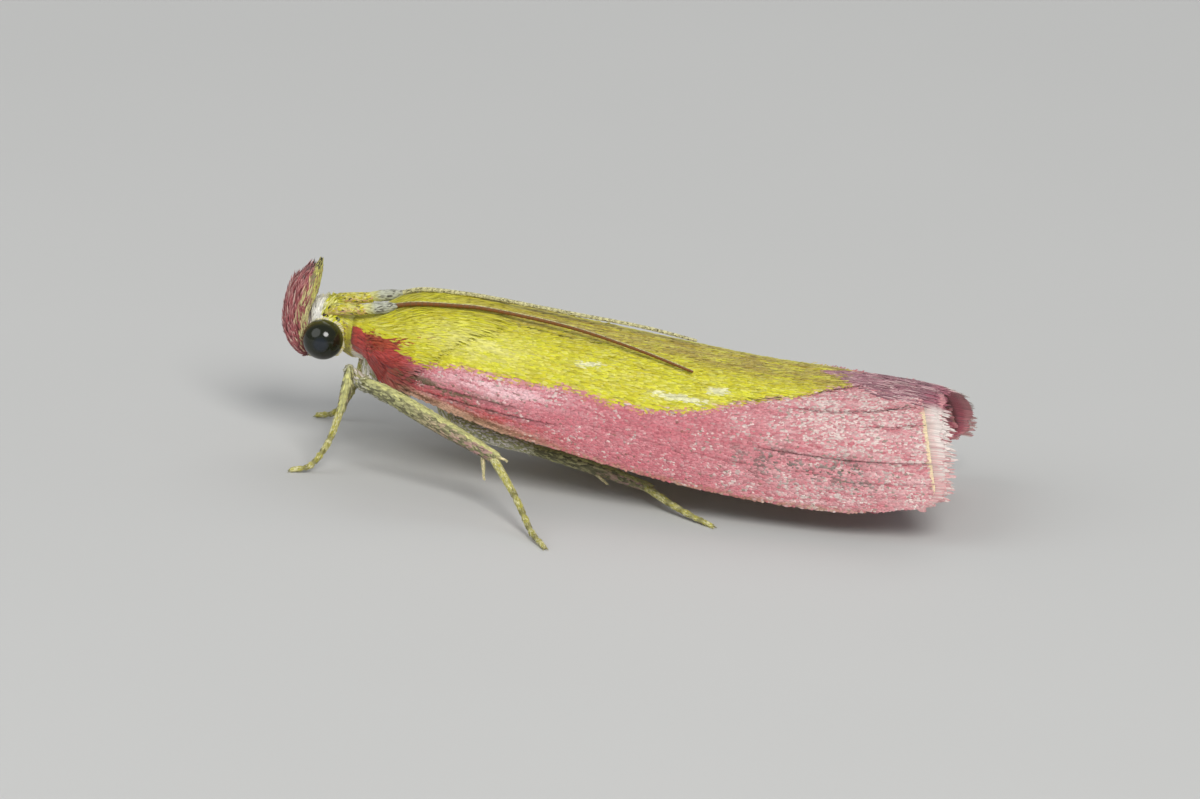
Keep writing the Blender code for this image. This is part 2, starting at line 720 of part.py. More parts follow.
def build_leg(pair, side_name):
    """One leg from coxa to claws, its foot worn to a small flat on the ground."""
    side = SIDES[side_name]
    joints = LEGS[pair]
    name = f"leg_{pair}_{side_name}"
    leg = limb_of_stations(name, joints["femur"], side, "leg_cream")
    parts = [limb_of_stations(part, joints[part], side, "leg_cream") for part in ("coxa", "tibia")]
    keys = [mirrored(station, side) for station in joints["tarsus"]]
    spine = smooth_path(keys, 9)
    widths = [(float(i), station[3]) for i, station in enumerate(joints["tarsus"])]
    radii = [station_values(widths, len(keys[1:]) * i / 8)[0] * MM for i in range(9)]
    parts.append(limb("tarsus", spine, radii, "leg_cream"))
    for i, (root, tip) in enumerate(joints["spurs"]):
        start, end = mirrored(root, side), mirrored(tip, side)
        parts.append(
            limb(f"spur_{i}", [start, (start + end) / 2, end],
                 [SPUR_RADII[0], SPUR_RADII[0] * 0.8, SPUR_RADII[1]], "leg_cream", sides=6)
        )
    fuse(leg, parts)
    return flatten_foot(leg)


def flatten_foot(leg):
    """Take off what would reach below the ground, which leaves the foot's flat."""
    bm = bmesh.new()
    bm.from_mesh(leg.data)
    cut = bmesh.ops.bisect_plane(
        bm,
        geom=bm.verts[:] + bm.edges[:] + bm.faces[:],
        plane_co=(0.0, 0.0, 0.0),
        plane_no=(0.0, 0.0, -1.0),
        clear_outer=True,
    )
    rim = [item for item in cut["geom_cut"] if isinstance(item, bmesh.types.BMEdge)]
    bmesh.ops.holes_fill(bm, edges=rim, sides=0)
    bmesh.ops.triangulate(bm, faces=bm.faces)
    bm.to_mesh(leg.data)
    bm.free()
    return leg


def main():
    """Build the whole moth."""
    clear_scene()
    build_head()
    build_thorax()
    build_abdomen()
    for side_name, side in SIDES.items():
        half_ball(f"eye_{side_name}", side, 0.0, "eye_dark")
        build_palp(side_name)
        build_antenna(side_name)
        build_forewing(side_name)
        build_hindwing(side_name)
        for pair in LEGS:
            build_leg(pair, side_name)


main()
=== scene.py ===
"""Looks of the rosy-striped knot-horn moth at rest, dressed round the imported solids.

Sizes are in millimetres and become metres where a mesh is made. The head points to -X,
the moth's left side to -Y and the floor is z = 0.
"""

import logging
import math
from contextlib import contextmanager
from dataclasses import dataclass, field
from enum import Enum
from typing import Callable, Iterator, Sequence

import bmesh
import bpy
import numpy as np
from mathutils import Matrix, Vector


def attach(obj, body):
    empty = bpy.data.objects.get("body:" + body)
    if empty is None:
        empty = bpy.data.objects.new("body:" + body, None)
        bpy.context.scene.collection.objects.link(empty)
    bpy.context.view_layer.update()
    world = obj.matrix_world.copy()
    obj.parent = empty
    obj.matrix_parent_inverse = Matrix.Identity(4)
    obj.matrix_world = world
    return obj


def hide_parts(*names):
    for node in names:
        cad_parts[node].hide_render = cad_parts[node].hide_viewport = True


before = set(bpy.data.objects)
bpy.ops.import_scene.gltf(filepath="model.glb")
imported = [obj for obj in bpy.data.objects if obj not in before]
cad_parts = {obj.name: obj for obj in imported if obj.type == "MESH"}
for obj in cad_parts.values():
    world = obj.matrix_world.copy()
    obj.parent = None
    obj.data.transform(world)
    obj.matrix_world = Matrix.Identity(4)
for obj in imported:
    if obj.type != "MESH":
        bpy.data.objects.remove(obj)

LOG = logging.getLogger("moth")
MM = 0.001
BODY = "root"
FORWARD = (-1.0, 0.0, 0.0)
UPWARD = (0.0, 0.0, 1.0)

Array = np.ndarray
Surface = Callable[[Array, Array], Array]
Placing = Callable[[Array, Array], tuple[Array, Array]]
Object = bpy.types.Object
Material = bpy.types.Material
Node = bpy.types.Node
NodeTree = bpy.types.NodeTree
Socket = bpy.types.NodeSocket
Point = tuple[float, float, float]
Colour = tuple[float, float, float]
Path = tuple[tuple[float, float, float, float], ...]

# Rings of a domed end, as shares of its height
DOME_RINGS = (0.35, 0.7, 0.92)

# Lie map: u runs along x, v is the angle down from the ridge, so that skin and scales share markings
LIE_START = -7.5
LIE_SPAN = 15.0
LIE_ANGLE = 180.0
BAKE_PATCH = 0.003
BAKE_MARGIN = 0.01

# Factors that make further random values from the one of a scale
SECOND_DRAW = 17.31
THIRD_DRAW = 53.7
STRAY_DRAW = 23.7


class BladeForm(Enum):
    """Outlines of one scale up to its point: position along it and share of its full width there."""

    TILE = ((0.0, 0.7), (0.8, 1.0))
    HAIR = ((0.0, 0.5), (0.35, 1.0), (0.75, 0.7))
    PLUME = ((0.0, 0.4), (0.6, 1.0), (0.92, 0.65))


class Blend(Enum):
    """Ways to blend two colours."""

    PLAIN = "MIX"
    DARKEN = "MULTIPLY"


class Side(Enum):
    """Sides of the moth, each as a sign of y."""

    LEFT = -1.0
    RIGHT = 1.0


class WingField(Enum):
    """Fields of the forewing, by their names in the pieces."""

    YELLOW = "yellow"
    ROSY = "rosy"


class LegPair(Enum):
    """Pairs of legs, by their names in the pieces."""

    FORE = "fore"
    MID = "mid"
    HIND = "hind"


# Small helpers for arrays


def ease(value: Array, low: float, high: float) -> Array:
    """Even step from 0 at low to 1 at high."""
    t = np.clip((np.asarray(value, float) - low) / (high - low), 0.0, 1.0)
    return t * t * (3.0 - 2.0 * t)


def bump(value: Array, centre: Array, half: float) -> Array:
    """Bell of height 1 at centre."""
    return np.exp(-(((np.asarray(value, float) - centre) / half) ** 2))


def unit(vectors: Array) -> Array:
    """Rows scaled to length 1."""
    return vectors / np.maximum(np.linalg.norm(vectors, axis=-1, keepdims=True), 1e-12)


def smooth_table(stations: Sequence[Sequence[float]], count: int = 400) -> Array:
    """Dense table of a cubic through stations.

    Args:
        stations: rows that start with their place and go on with their values.
        count: rows of the table.

    Returns:
        Rows of place and values, evenly spaced.
    """
    rows = np.array(stations, float)
    x = rows[:, 0]
    slopes = np.gradient(rows[:, 1:], x, axis=0)
    at = np.linspace(x[0], x[-1], count)
    index = np.clip(np.searchsorted(x, at, side="right") - 1, 0, len(x) - 2)
    span = (x[index + 1] - x[index])[:, None]
    t = (at - x[index])[:, None] / span
    start, end = rows[index, 1:], rows[index + 1, 1:]
    values = (
        start * (2 * t**3 - 3 * t**2 + 1)
        + slopes[index] * span * (t**3 - 2 * t**2 + t)
        + end * (3 * t**2 - 2 * t**3)
        + slopes[index + 1] * span * (t**3 - t**2)
    )
    return np.column_stack([at, values])


def read_table(table: Array, at: Array) -> list[Array]:
    """Values of a table at the given places, one array per column."""
    return [np.interp(at, table[:, 0], table[:, k]) for k in range(1, table.shape[1])]


def lie_of(x: Array, angle: Array) -> Array:
    """Lie map of places given by x and by the angle down from the ridge."""
    x, angle = np.broadcast_arrays(x, angle)
    return np.column_stack([(x.ravel() - LIE_START) / LIE_SPAN, angle.ravel() / LIE_ANGLE])


def jittered(rng: np.random.Generator, across: int, along: int, loose: float = 0.45) -> tuple[Array, Array]:
    """Staggered places on a unit square with a random shift, as two flat arrays (along, across).

    Args:
        rng: source of the random shifts.
        across: number of places across.
        along: number of places along.
        loose: largest shift, as a share of a step.

    Returns:
        Places along and places across.
    """
    row, column = np.meshgrid(np.arange(along), np.arange(across), indexing="ij")
    shift = rng.uniform(-loose, loose, (2, along, across))
    s = (row + 0.5 + shift[0]) / along
    t = (column + 0.25 + 0.5 * (row % 2) + shift[1]) / across
    return np.clip(s, 0.0, 1.0).ravel(), np.clip(t, 0.0, 1.0).ravel()


# Small helpers for meshes


def only(obj: Object) -> None:
    """Make obj the one selected and active object.

    Args:
        obj: object to select.
    """
    bpy.ops.object.select_all(action="DESELECT")
    obj.select_set(True)
    bpy.context.view_layer.objects.active = obj


@contextmanager
def edit(obj: Object) -> Iterator[bmesh.types.BMesh]:
    """Edit mode on obj with nothing selected; its mesh is given and written back.

    Args:
        obj: object whose mesh is edited.

    Returns:
        The mesh, while the with block runs.
    """
    only(obj)
    bpy.ops.object.mode_set(mode="EDIT")
    bpy.ops.mesh.select_all(action="DESELECT")
    mesh = bmesh.from_edit_mesh(obj.data)
    yield mesh
    bmesh.update_edit_mesh(obj.data)
    bpy.ops.object.mode_set(mode="OBJECT")


def rings_to_body(name: str, rings: Array) -> Object:
    """Closed body extruded ring by ring from a circle.

    Args:
        name: name of the new object.
        rings: array of rings, each of the same number of points in millimetres.

    Returns:
        The object, with point attributes ring and slot that number its vertices.
    """
    sides = rings.shape[1]
    bpy.ops.mesh.primitive_circle_add(vertices=sides, radius=MM, fill_type="NGON")
    obj = bpy.context.object
    obj.name = name
    obj.data.name = name
    slot = obj.data.attributes.new("slot", "INT", "POINT")
    slot.data.foreach_set("value", np.arange(sides, dtype=np.int32))
    obj.data.attributes.new("ring", "INT", "POINT")
    only(obj)
    bpy.ops.object.mode_set(mode="EDIT")
    bpy.ops.mesh.select_all(action="SELECT")
    for k, ring in enumerate(rings):
        if k:
            bpy.ops.mesh.extrude_region_move()
        mesh = bmesh.from_edit_mesh(obj.data)
        slots, numbers = mesh.verts.layers.int["slot"], mesh.verts.layers.int["ring"]
        for vert in mesh.verts:
            if vert.select:
                vert.co = Vector(ring[vert[slots]]) * MM
                vert[numbers] = k
        bmesh.update_edit_mesh(obj.data)
    mesh = bmesh.from_edit_mesh(obj.data)
    first = {vert for vert in mesh.verts if vert[mesh.verts.layers.int["ring"]] == 0}
    rim = [edge for edge in mesh.edges if first.issuperset(edge.verts)]
    if any(len(edge.link_faces) == 1 for edge in rim):
        bmesh.ops.edgeloop_fill(mesh, edges=rim)
    bmesh.ops.recalc_face_normals(mesh, faces=mesh.faces)
    bmesh.update_edit_mesh(obj.data)
    bpy.ops.object.mode_set(mode="OBJECT")
    return obj


def grid_to_sheet(name: str, columns: int, rows: int, place: Surface) -> Object:
    """Sheet laid on a surface from a primitive grid, with its map kept as the map Sheet.

    Args:
        name: name of the new object.
        columns: quads along the first direction.
        rows: quads along the second direction.
        place: surface that takes shares from 0 to 1 of both directions.

    Returns:
        The object.
    """
    bpy.ops.mesh.primitive_grid_add(x_subdivisions=columns, y_subdivisions=rows, size=1.0)
    obj = bpy.context.object
    obj.name = name
    obj.data.name = name
    flat = np.empty(len(obj.data.vertices) * 3)
    obj.data.vertices.foreach_get("co", flat)
    flat = flat.reshape(-1, 3)
    laid = place(flat[:, 0] + 0.5, flat[:, 1] + 0.5) * MM
    obj.data.vertices.foreach_set("co", laid.ravel())
    obj.data.uv_layers[0].name = "Sheet"
    obj.data.update()
    return obj


def two_faced(obj: Object, side: float, thickness: float, place: Placing) -> Array:
    """Give a sheet its thickness, lie map and an attribute that is 1 on its inner face.

    Args:
        obj: sheet made by grid_to_sheet.
        side: side of the moth as a sign of y.
        thickness: thickness in millimetres, inwards.
        place: x and angle of the shares on the sheet.

    Returns:
        x and angle of every face corner, as two rows.
    """
    if side < 0:
        with edit(obj):
            bpy.ops.mesh.select_all(action="SELECT")
            bpy.ops.mesh.flip_normals()
    finish_modifier(obj, "SOLIDIFY", thickness=thickness * MM, offset=-1.0)
    sheet = np.empty(len(obj.data.loops) * 2, dtype=np.float32)
    obj.data.uv_layers["Sheet"].uv.foreach_get("vector", sheet)
    x, angle = place(*sheet.reshape(-1, 2).astype(float).T)
    set_map(obj, "Lie", lie_of(x, angle))
    normals = np.empty(len(obj.data.polygons) * 3)
    obj.data.polygons.foreach_get("normal", normals)
    centres = np.empty(len(obj.data.polygons) * 3)
    obj.data.polygons.foreach_get("center", centres)
    normals, centres = normals.reshape(-1, 3), centres.reshape(-1, 3) - [0.0, 0.0, 0.8 * MM]
    inner = (normals[:, 1] * centres[:, 1] + normals[:, 2] * centres[:, 2] < 0.0).astype(np.float32)
    layer = obj.data.attributes.new("inner", "FLOAT", "FACE")
    layer.data.foreach_set("value", inner)
    return np.array([x, angle])


def corner_values(obj: Object, values: Array) -> Array:
    """Values of the vertices repeated for every face corner.

    Args:
        obj: object that owns the vertices.
        values: one value per vertex.

    Returns:
        One value per face corner.
    """
    index = np.empty(len(obj.data.loops), dtype=np.int32)
    obj.data.loops.foreach_get("vertex_index", index)
    return values[index]


def set_map(obj: Object, name: str, values: Array) -> None:
    """Write a UV map of obj from one value per face corner."""
    layer = obj.data.uv_layers.get(name) or obj.data.uv_layers.new(name=name)
    layer.uv.foreach_set("vector", np.ascontiguousarray(values, dtype=np.float32).ravel())


def finish_modifier(obj: Object, kind: str, **settings: object) -> None:
    """Add one modifier to obj and apply it.

    Args:
        obj: object to change.
        kind: type of the modifier.
        settings: its settings.
    """
    only(obj)
    modifier = obj.modifiers.new(kind.lower(), kind)
    for key, value in settings.items():
        setattr(modifier, key, value)
    bpy.ops.object.modifier_apply(modifier=modifier.name)


def dress(obj: Object, material: Material, slot: str, *nodes: str) -> Object:
    """Give obj its material and its body, and hide the CAD nodes that it stands for.

    Args:
        obj: object to dress.
        material: its material.
        slot: not used.
        nodes: CAD nodes that it stands for.

    Returns:
        The same object.
    """
    obj.data.materials.clear()
    obj.data.materials.append(material)
    if "Blade" in obj.data.uv_layers:
        obj.data.shade_flat()
    else:
        obj.data.shade_smooth()
    if nodes:
        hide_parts(*nodes)
    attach(obj, BODY)
    faces = sum(len(polygon.vertices) - 2 for polygon in obj.data.polygons)
    LOG.info("%s: %d triangles", obj.name, faces)
    return obj


# Surfaces


@dataclass(frozen=True)
class Vault:
    """Vault of the folded wings, on the same stations as the solids.

    Each station is x, half width, height of the ridge and height of the costal edge.
    """

    stations: Path = (
        (-5.3, 1.30, 3.30, 2.20),
        (-4.6, 1.60, 3.46, 1.98),
        (-3.7, 1.88, 3.50, 1.78),
        (-2.4, 2.08, 3.43, 1.45),
        (-1.0, 2.22, 3.28, 1.22),
        (0.6, 2.32, 3.10, 0.94),
        (2.8, 2.38, 2.88, 0.68),
        (4.6, 2.38, 2.80, 0.60),
        (6.2, 2.34, 2.69, 0.66),
        (7.4, 2.28, 2.58, 0.80),
    )

    def point(self, side: float, x: Array, angle: Array, depth: Array = 0.0) -> Array:
        """Points at x and at an angle down from the ridge, moved inwards by depth.

        Args:
            side: side as a sign of y.
            x: places along the body.
            angle: angles down from the ridge, in degrees.
            depth: distances inwards.

        Returns:
            Points as rows.
        """
        half, ridge, foot = read_table(VAULT_TABLE, x)
        rise = ridge - foot
        turn = np.radians(angle)
        out_y, out_z = np.sin(turn) / half, np.cos(turn) / rise
        size = np.hypot(out_y, out_z)
        y = half * np.sin(turn) - depth * out_y / size
        z = foot + rise * np.cos(turn) - depth * out_z / size
        return np.column_stack(np.broadcast_arrays(x, side * y, z))


VAULT = Vault()
VAULT_TABLE = smooth_table(VAULT.stations)


@dataclass(frozen=True)
class Tube:
    """Round member along a path: stations (x, y, z, radius), with a side squeeze."""

    stations: Path
    side: float = 1.0
    squeeze: float = 1.0
    joints: tuple[float, ...] = ()
    waist_width: float = 0.018
    waist_depth: float = 0.22
    guide: Point = UPWARD

    def table(self) -> Array:
        """Dense table: length share, centre, radius, side direction and direction of turn 0, next to the guide.

        Returns:
            Rows of the table.
        """
        keyed = [(float(k), row[0], self.side * row[1], row[2], row[3]) for k, row in enumerate(self.stations)]
        rows = smooth_table(keyed, 240)
        centre = rows[:, 1:4]
        steps = np.linalg.norm(np.diff(centre, axis=0), axis=1)
        share = np.concatenate([[0.0], np.cumsum(steps)])
        ahead = unit(np.gradient(centre, axis=0))
        across = unit(np.cross(ahead, np.array(self.guide)))
        over = np.cross(across, ahead)
        return np.column_stack([share / share[-1], centre, rows[:, 4], across, over])

    def caps(self) -> tuple[float, float]:
        """Shares by which the domed ends reach past 0 and 1.

        Returns:
            The two shares.
        """
        table = self.table()
        length = float(np.linalg.norm(np.diff(table[:, 1:4], axis=0), axis=1).sum())
        return float(table[0, 4]) / length, float(table[-1, 4]) / length

    def surface(self) -> Surface:
        """Surface of the share along the member and the turn in degrees.

        Returns:
            The surface.
        """
        table = self.table()
        first, last = self.caps()
        ends = unit(table[[1, -1], 1:4] - table[[0, -2], 1:4])

        def place(s: Array, t: Array) -> Array:
            """Points at shares s and turns t; beyond 0 and 1 they close the domes.

            Args:
                s: shares along the member.
                t: turns in degrees.

            Returns:
                Points as rows.
            """
            read = read_table(table, s)
            low, high = np.minimum(s, 0.0) / first, np.maximum(s - 1.0, 0.0) / last
            read[3] = read[3] * np.sqrt(np.maximum(1.0 - np.maximum(-low, high) ** 2, 0.0))
            centre = np.column_stack(read[0:3])
            centre = centre + ends[0] * (low * table[0, 4])[:, None] + ends[1] * (high * table[-1, 4])[:, None]
            across, over = np.column_stack(read[4:7]), np.column_stack(read[7:10])
            waist = sum((bump(s, joint, self.waist_width) for joint in self.joints), np.zeros(len(s)))
            radius = (read[3] * (1.0 - self.waist_depth * waist))[:, None]
            turn = np.radians(t)[:, None]
            return centre + radius * (np.sin(turn) * across * self.squeeze + np.cos(turn) * over)

        return place


def rings_of(surface: Surface, shares: Array, sides: int) -> Array:
    """Rings of a surface at the given shares, evenly turned."""
    turn = np.arange(sides) * 360.0 / sides
    return np.array([surface(np.full(sides, share), turn) for share in shares])


def domed(rings: Array, cap: float = 0.6) -> Array:
    """Rings with a smaller one beyond both ends, so that the body closes in a dome.

    Args:
        rings: rings of points.
        cap: height of the domes, as a share of the radius.

    Returns:
        The rings with the two new ones.
    """
    centre = rings.mean(axis=1, keepdims=True)
    radius = np.linalg.norm(rings - centre, axis=2).mean(axis=1)
    first = centre[0] + (rings[0] - centre[0]) * 0.5 + unit(centre[0] - centre[1]) * radius[0] * cap
    last = centre[-1] + (rings[-1] - centre[-1]) * 0.5 + unit(centre[-1] - centre[-2]) * radius[-1] * cap
    return np.concatenate([first[None], rings, last[None]])


@dataclass(frozen=True)
class Loft:
    """Long body of elliptical rings: stations are x, half width, height of the top and of the bottom."""

    stations: Path
    first_edge: float
    segment: float
    step: float = 0.035

    def surface(self, grow: float = 0.0) -> Surface:
        """Surface of x and the turn in degrees from the top over the left side, grown by a distance.

        Args:
            grow: distance by which the surface is moved outwards.

        Returns:
            The surface.
        """
        table = smooth_table(self.stations)

        def place(x: Array, turn: Array) -> Array:
            """Points at x and turn.

            Args:
                x: places along the body.
                turn: turns in degrees.

            Returns:
                Points as rows.
            """
            half, top, bottom = read_table(table, x)
            run = np.maximum(x - self.first_edge, 0.0) / self.segment
            edge = grow + self.step * (run - np.floor(run)) ** 2 * (x > self.first_edge)
            middle, height = (top + bottom) / 2.0, (top - bottom) / 2.0
            bend = np.radians(turn)
            y = -(half + edge) * np.sin(bend)
            z = middle + (height + edge) * np.cos(bend)
            return np.column_stack(np.broadcast_arrays(x, y, z))

        return place


def fold(turn: Array) -> Array:
    """Turn in degrees folded to 0 to 180, so that both sides share markings."""
    return 180.0 - np.abs(np.mod(turn, 360.0) - 180.0)


def ring_map(obj: Object, places: Array, sides: int, middle: float = 0.0) -> None:
    """Lie map of a ring body: place along it from its rings, turn from its slots folded about the middle turn.

    Args:
        obj: body made by rings_to_body.
        places: place of every ring along the body.
        sides: points of one ring.
        middle: turn about which both sides are folded.
    """
    count = len(obj.data.vertices)
    ring, slot = np.empty(count, dtype=np.int32), np.empty(count, dtype=np.int32)
    obj.data.attributes["ring"].data.foreach_get("value", ring)
    obj.data.attributes["slot"].data.foreach_get("value", slot)
    lie = lie_of(np.asarray(places, float)[ring], fold(slot * 360.0 / sides - middle))
    set_map(obj, "Lie", corner_values(obj, lie))


def tube_body(name: str, tube: Tube, rings: int, sides: int, run: float = 0.0) -> Object:
    """Skin of a tube with domed ends; its lie map runs from run to run + 1.

    Args:
        name: name of the new object.
        tube: the tube.
        rings: rings between the domes.
        sides: points of one ring.
        run: start of its lie map.

    Returns:
        The object.
    """
    first, last = tube.caps()
    dome = np.array(DOME_RINGS)
    shares = np.concatenate([-first * dome[::-1], np.linspace(0.0, 1.0, rings), 1.0 + last * dome])
    body = rings_to_body(name, rings_of(tube.surface(), shares, sides))
    ring_map(body, run + np.clip(shares, 0.0, 1.0), sides)
    return body


def joined(name: str, pieces: Sequence[Object]) -> Object:
    """Pieces joined to one object.

    Args:
        name: name of the whole.
        pieces: the objects, at least one.

    Returns:
        The joined object.
    """
    only(pieces[0])
    for piece in pieces:
        piece.select_set(True)
    if len(pieces) > 1:
        bpy.ops.object.join()
    pieces[0].name = name
    pieces[0].data.name = name
    return pieces[0]


# Parts on both sides


@dataclass
class Sided:
    """Part that the moth has on both sides."""

    which: Side

    @property
    def side(self) -> float:
        """Side as a sign of y."""
        return self.which.value

    @property
    def side_name(self) -> str:
        """Name of the side in the names of pieces."""
        return self.which.name.lower()

    def seed(self, base: int) -> int:
        """Seed for random draws: base on the left, the next number on the right."""
        return base if self.side < 0 else base + 1


# Scales


@dataclass
class Coat:
    """Scales or hairs laid over a surface as one joined mesh of solid blades."""

    name: str
    form: BladeForm
    surface: Surface
    s: Array
    t: Array
    length: Array
    width: Array
    lie: Array
    bake: Array
    seed: int
    thickness: float = 0.007
    lift: Array = 9.0
    curl: Array = -0.06
    yaw: Array = 0.0
    sunk: float = 0.004
    outward: float = 1.0
    step: tuple[float, float] = (1e-3, 0.1)
    ahead: Array | None = None

    def template(self) -> tuple[Array, list[tuple[int, ...]]]:
        """One blade of length 1, width 1 and height 1, modelled once.

        Returns:
            Corners and faces of the blade.
        """
        rings = [
            [(along, -0.5 * wide, 0.0), (along, 0.0, wide), (along, 0.5 * wide, 0.0)]
            for along, wide in self.form.value
        ]
        blade = rings_to_body(f"blade_{self.name}", np.array(rings))
        with edit(blade) as mesh:
            far = max(mesh.faces, key=lambda face: face.calc_center_median().x)
            old = set(mesh.verts)
            bmesh.ops.poke(mesh, faces=[far])
            for vert in set(mesh.verts) - old:
                vert.co = Vector((1.0, 0.0, 0.3 * self.form.value[-1][1])) * MM
        corners = np.array([vert.co[:] for vert in blade.data.vertices]) / MM
        faces = [tuple(polygon.vertices) for polygon in blade.data.polygons]
        bpy.data.objects.remove(blade, do_unlink=True)
        return corners, faces

    def frames(self) -> tuple[Array, Array, Array, Array]:
        """Root, direction ahead, direction across and direction out of every blade.

        Returns:
            Four arrays with one row per blade.
        """
        root = self.surface(self.s, self.t)
        along = self.surface(self.s + self.step[0], self.t) - self.surface(self.s - self.step[0], self.t)
        across = self.surface(self.s, self.t + self.step[1]) - self.surface(self.s, self.t - self.step[1])
        along, across = unit(along), unit(across)
        out = unit(np.cross(along, across)) * self.outward
        if self.ahead is not None:
            along = unit(self.ahead - out * np.sum(self.ahead * out, axis=1, keepdims=True))
        beside = np.cross(out, along)
        yaw = np.radians(np.broadcast_to(self.yaw, len(root)))[:, None]
        ahead = along * np.cos(yaw) + beside * np.sin(yaw)
        return root, ahead, np.cross(out, ahead), out

    def build(self) -> Object:
        """Lay every blade and join them.

        Returns:
            The object, with the maps Lie, Blade (random value, share along) and OFBake.
        """
        corners, faces = self.template()
        root, ahead, beside, out = self.frames()
        count, per = len(root), len(corners)
        draw = np.random.default_rng(self.seed)
        length, width, lift, curl = (
            np.broadcast_to(np.asarray(value, float), count)[:, None]
            for value in (self.length, self.width, self.lift, self.curl)
        )
        x, y, z = corners[:, 0][None], corners[:, 1][None], corners[:, 2][None]
        slope = np.tan(np.radians(lift))
        rise = z * self.thickness + (slope * x + curl * x**2) * length - self.sunk
        verts = (
            root[:, None]
            + ahead[:, None] * (x * length)[..., None]
            + beside[:, None] * (y * width)[..., None]
            + out[:, None] * rise[..., None]
        ).reshape(-1, 3)
        shifts = np.arange(count) * per
        triples = [face for face in faces if len(face) == 3]
        fours = [face for face in faces if len(face) == 4]
        all_faces = []
        for group in (triples, fours):
            if group:
                all_faces += (np.array(group)[None] + shifts[:, None, None]).reshape(-1, len(group[0])).tolist()
        mesh = bpy.data.meshes.new(self.name)
        mesh.from_pydata((verts * MM).tolist(), [], all_faces)
        obj = bpy.data.objects.new(self.name, mesh)
        bpy.context.scene.collection.objects.link(obj)
        value = np.repeat(draw.uniform(0.0, 1.0, count), per)
        run = np.tile(corners[:, 0], count)
        set_map(obj, "Lie", corner_values(obj, np.repeat(self.lie, per, axis=0)))
        set_map(obj, "Blade", corner_values(obj, np.column_stack([value, run])))
        patch = np.column_stack([run - 0.5, np.tile(corners[:, 1], count)]) * BAKE_PATCH
        bake = BAKE_MARGIN + (1.0 - 2.0 * BAKE_MARGIN) * np.clip(np.repeat(self.bake, per, axis=0), 0.0, 1.0)
        set_map(obj, "OFBake", corner_values(obj, bake + patch))
        return obj


# Shader helper


@dataclass(frozen=True)
class Value:
    """Number in a node graph; sums and products of it add Math nodes."""

    graph: "Graph"
    socket: Socket

    def __add__(self, other: object) -> "Value":
        """Sum."""
        return self.graph.math("ADD", self, other)

    def __radd__(self, other: object) -> "Value":
        """Sum that starts with a plain number."""
        return self.graph.math("ADD", other, self)

    def __sub__(self, other: object) -> "Value":
        """Difference."""
        return self.graph.math("SUBTRACT", self, other)

    def __rsub__(self, other: object) -> "Value":
        """Difference that starts with a plain number."""
        return self.graph.math("SUBTRACT", other, self)

    def __mul__(self, other: object) -> "Value":
        """Product."""
        return self.graph.math("MULTIPLY", self, other)

    def __truediv__(self, other: object) -> "Value":
        """Quotient."""
        return self.graph.math("DIVIDE", self, other)

    def fract(self) -> "Value":
        """Part after the decimal point."""
        return self.graph.math("FRACT", self)

    def redraw(self, factor: float) -> "Value":
        """Another random value made from this one."""
        return (self * factor).fract()

    def step(self, low: float, high: float) -> "Value":
        """Smooth step from 0 at low to 1 at high, which may lie below low.

        Args:
            low: value where the step is 0.
            high: value where the step is 1.

        Returns:
            The stepped value.
        """
        start, end = (0.0, 1.0) if low < high else (1.0, 0.0)
        node = self.graph.add("ShaderNodeMapRange", interpolation_type="SMOOTHSTEP")
        self.graph.feed_all(node, {
            "Value": self, "From Min": min(low, high), "From Max": max(low, high), "To Min": start, "To Max": end,
        })
        return Value(self.graph, node.outputs["Result"])

    def bell(self, centre: float, half: float) -> "Value":
        """1 at centre and 0 from half on, on both sides."""
        return self.graph.math("ABSOLUTE", self - centre).step(half, 0.0)


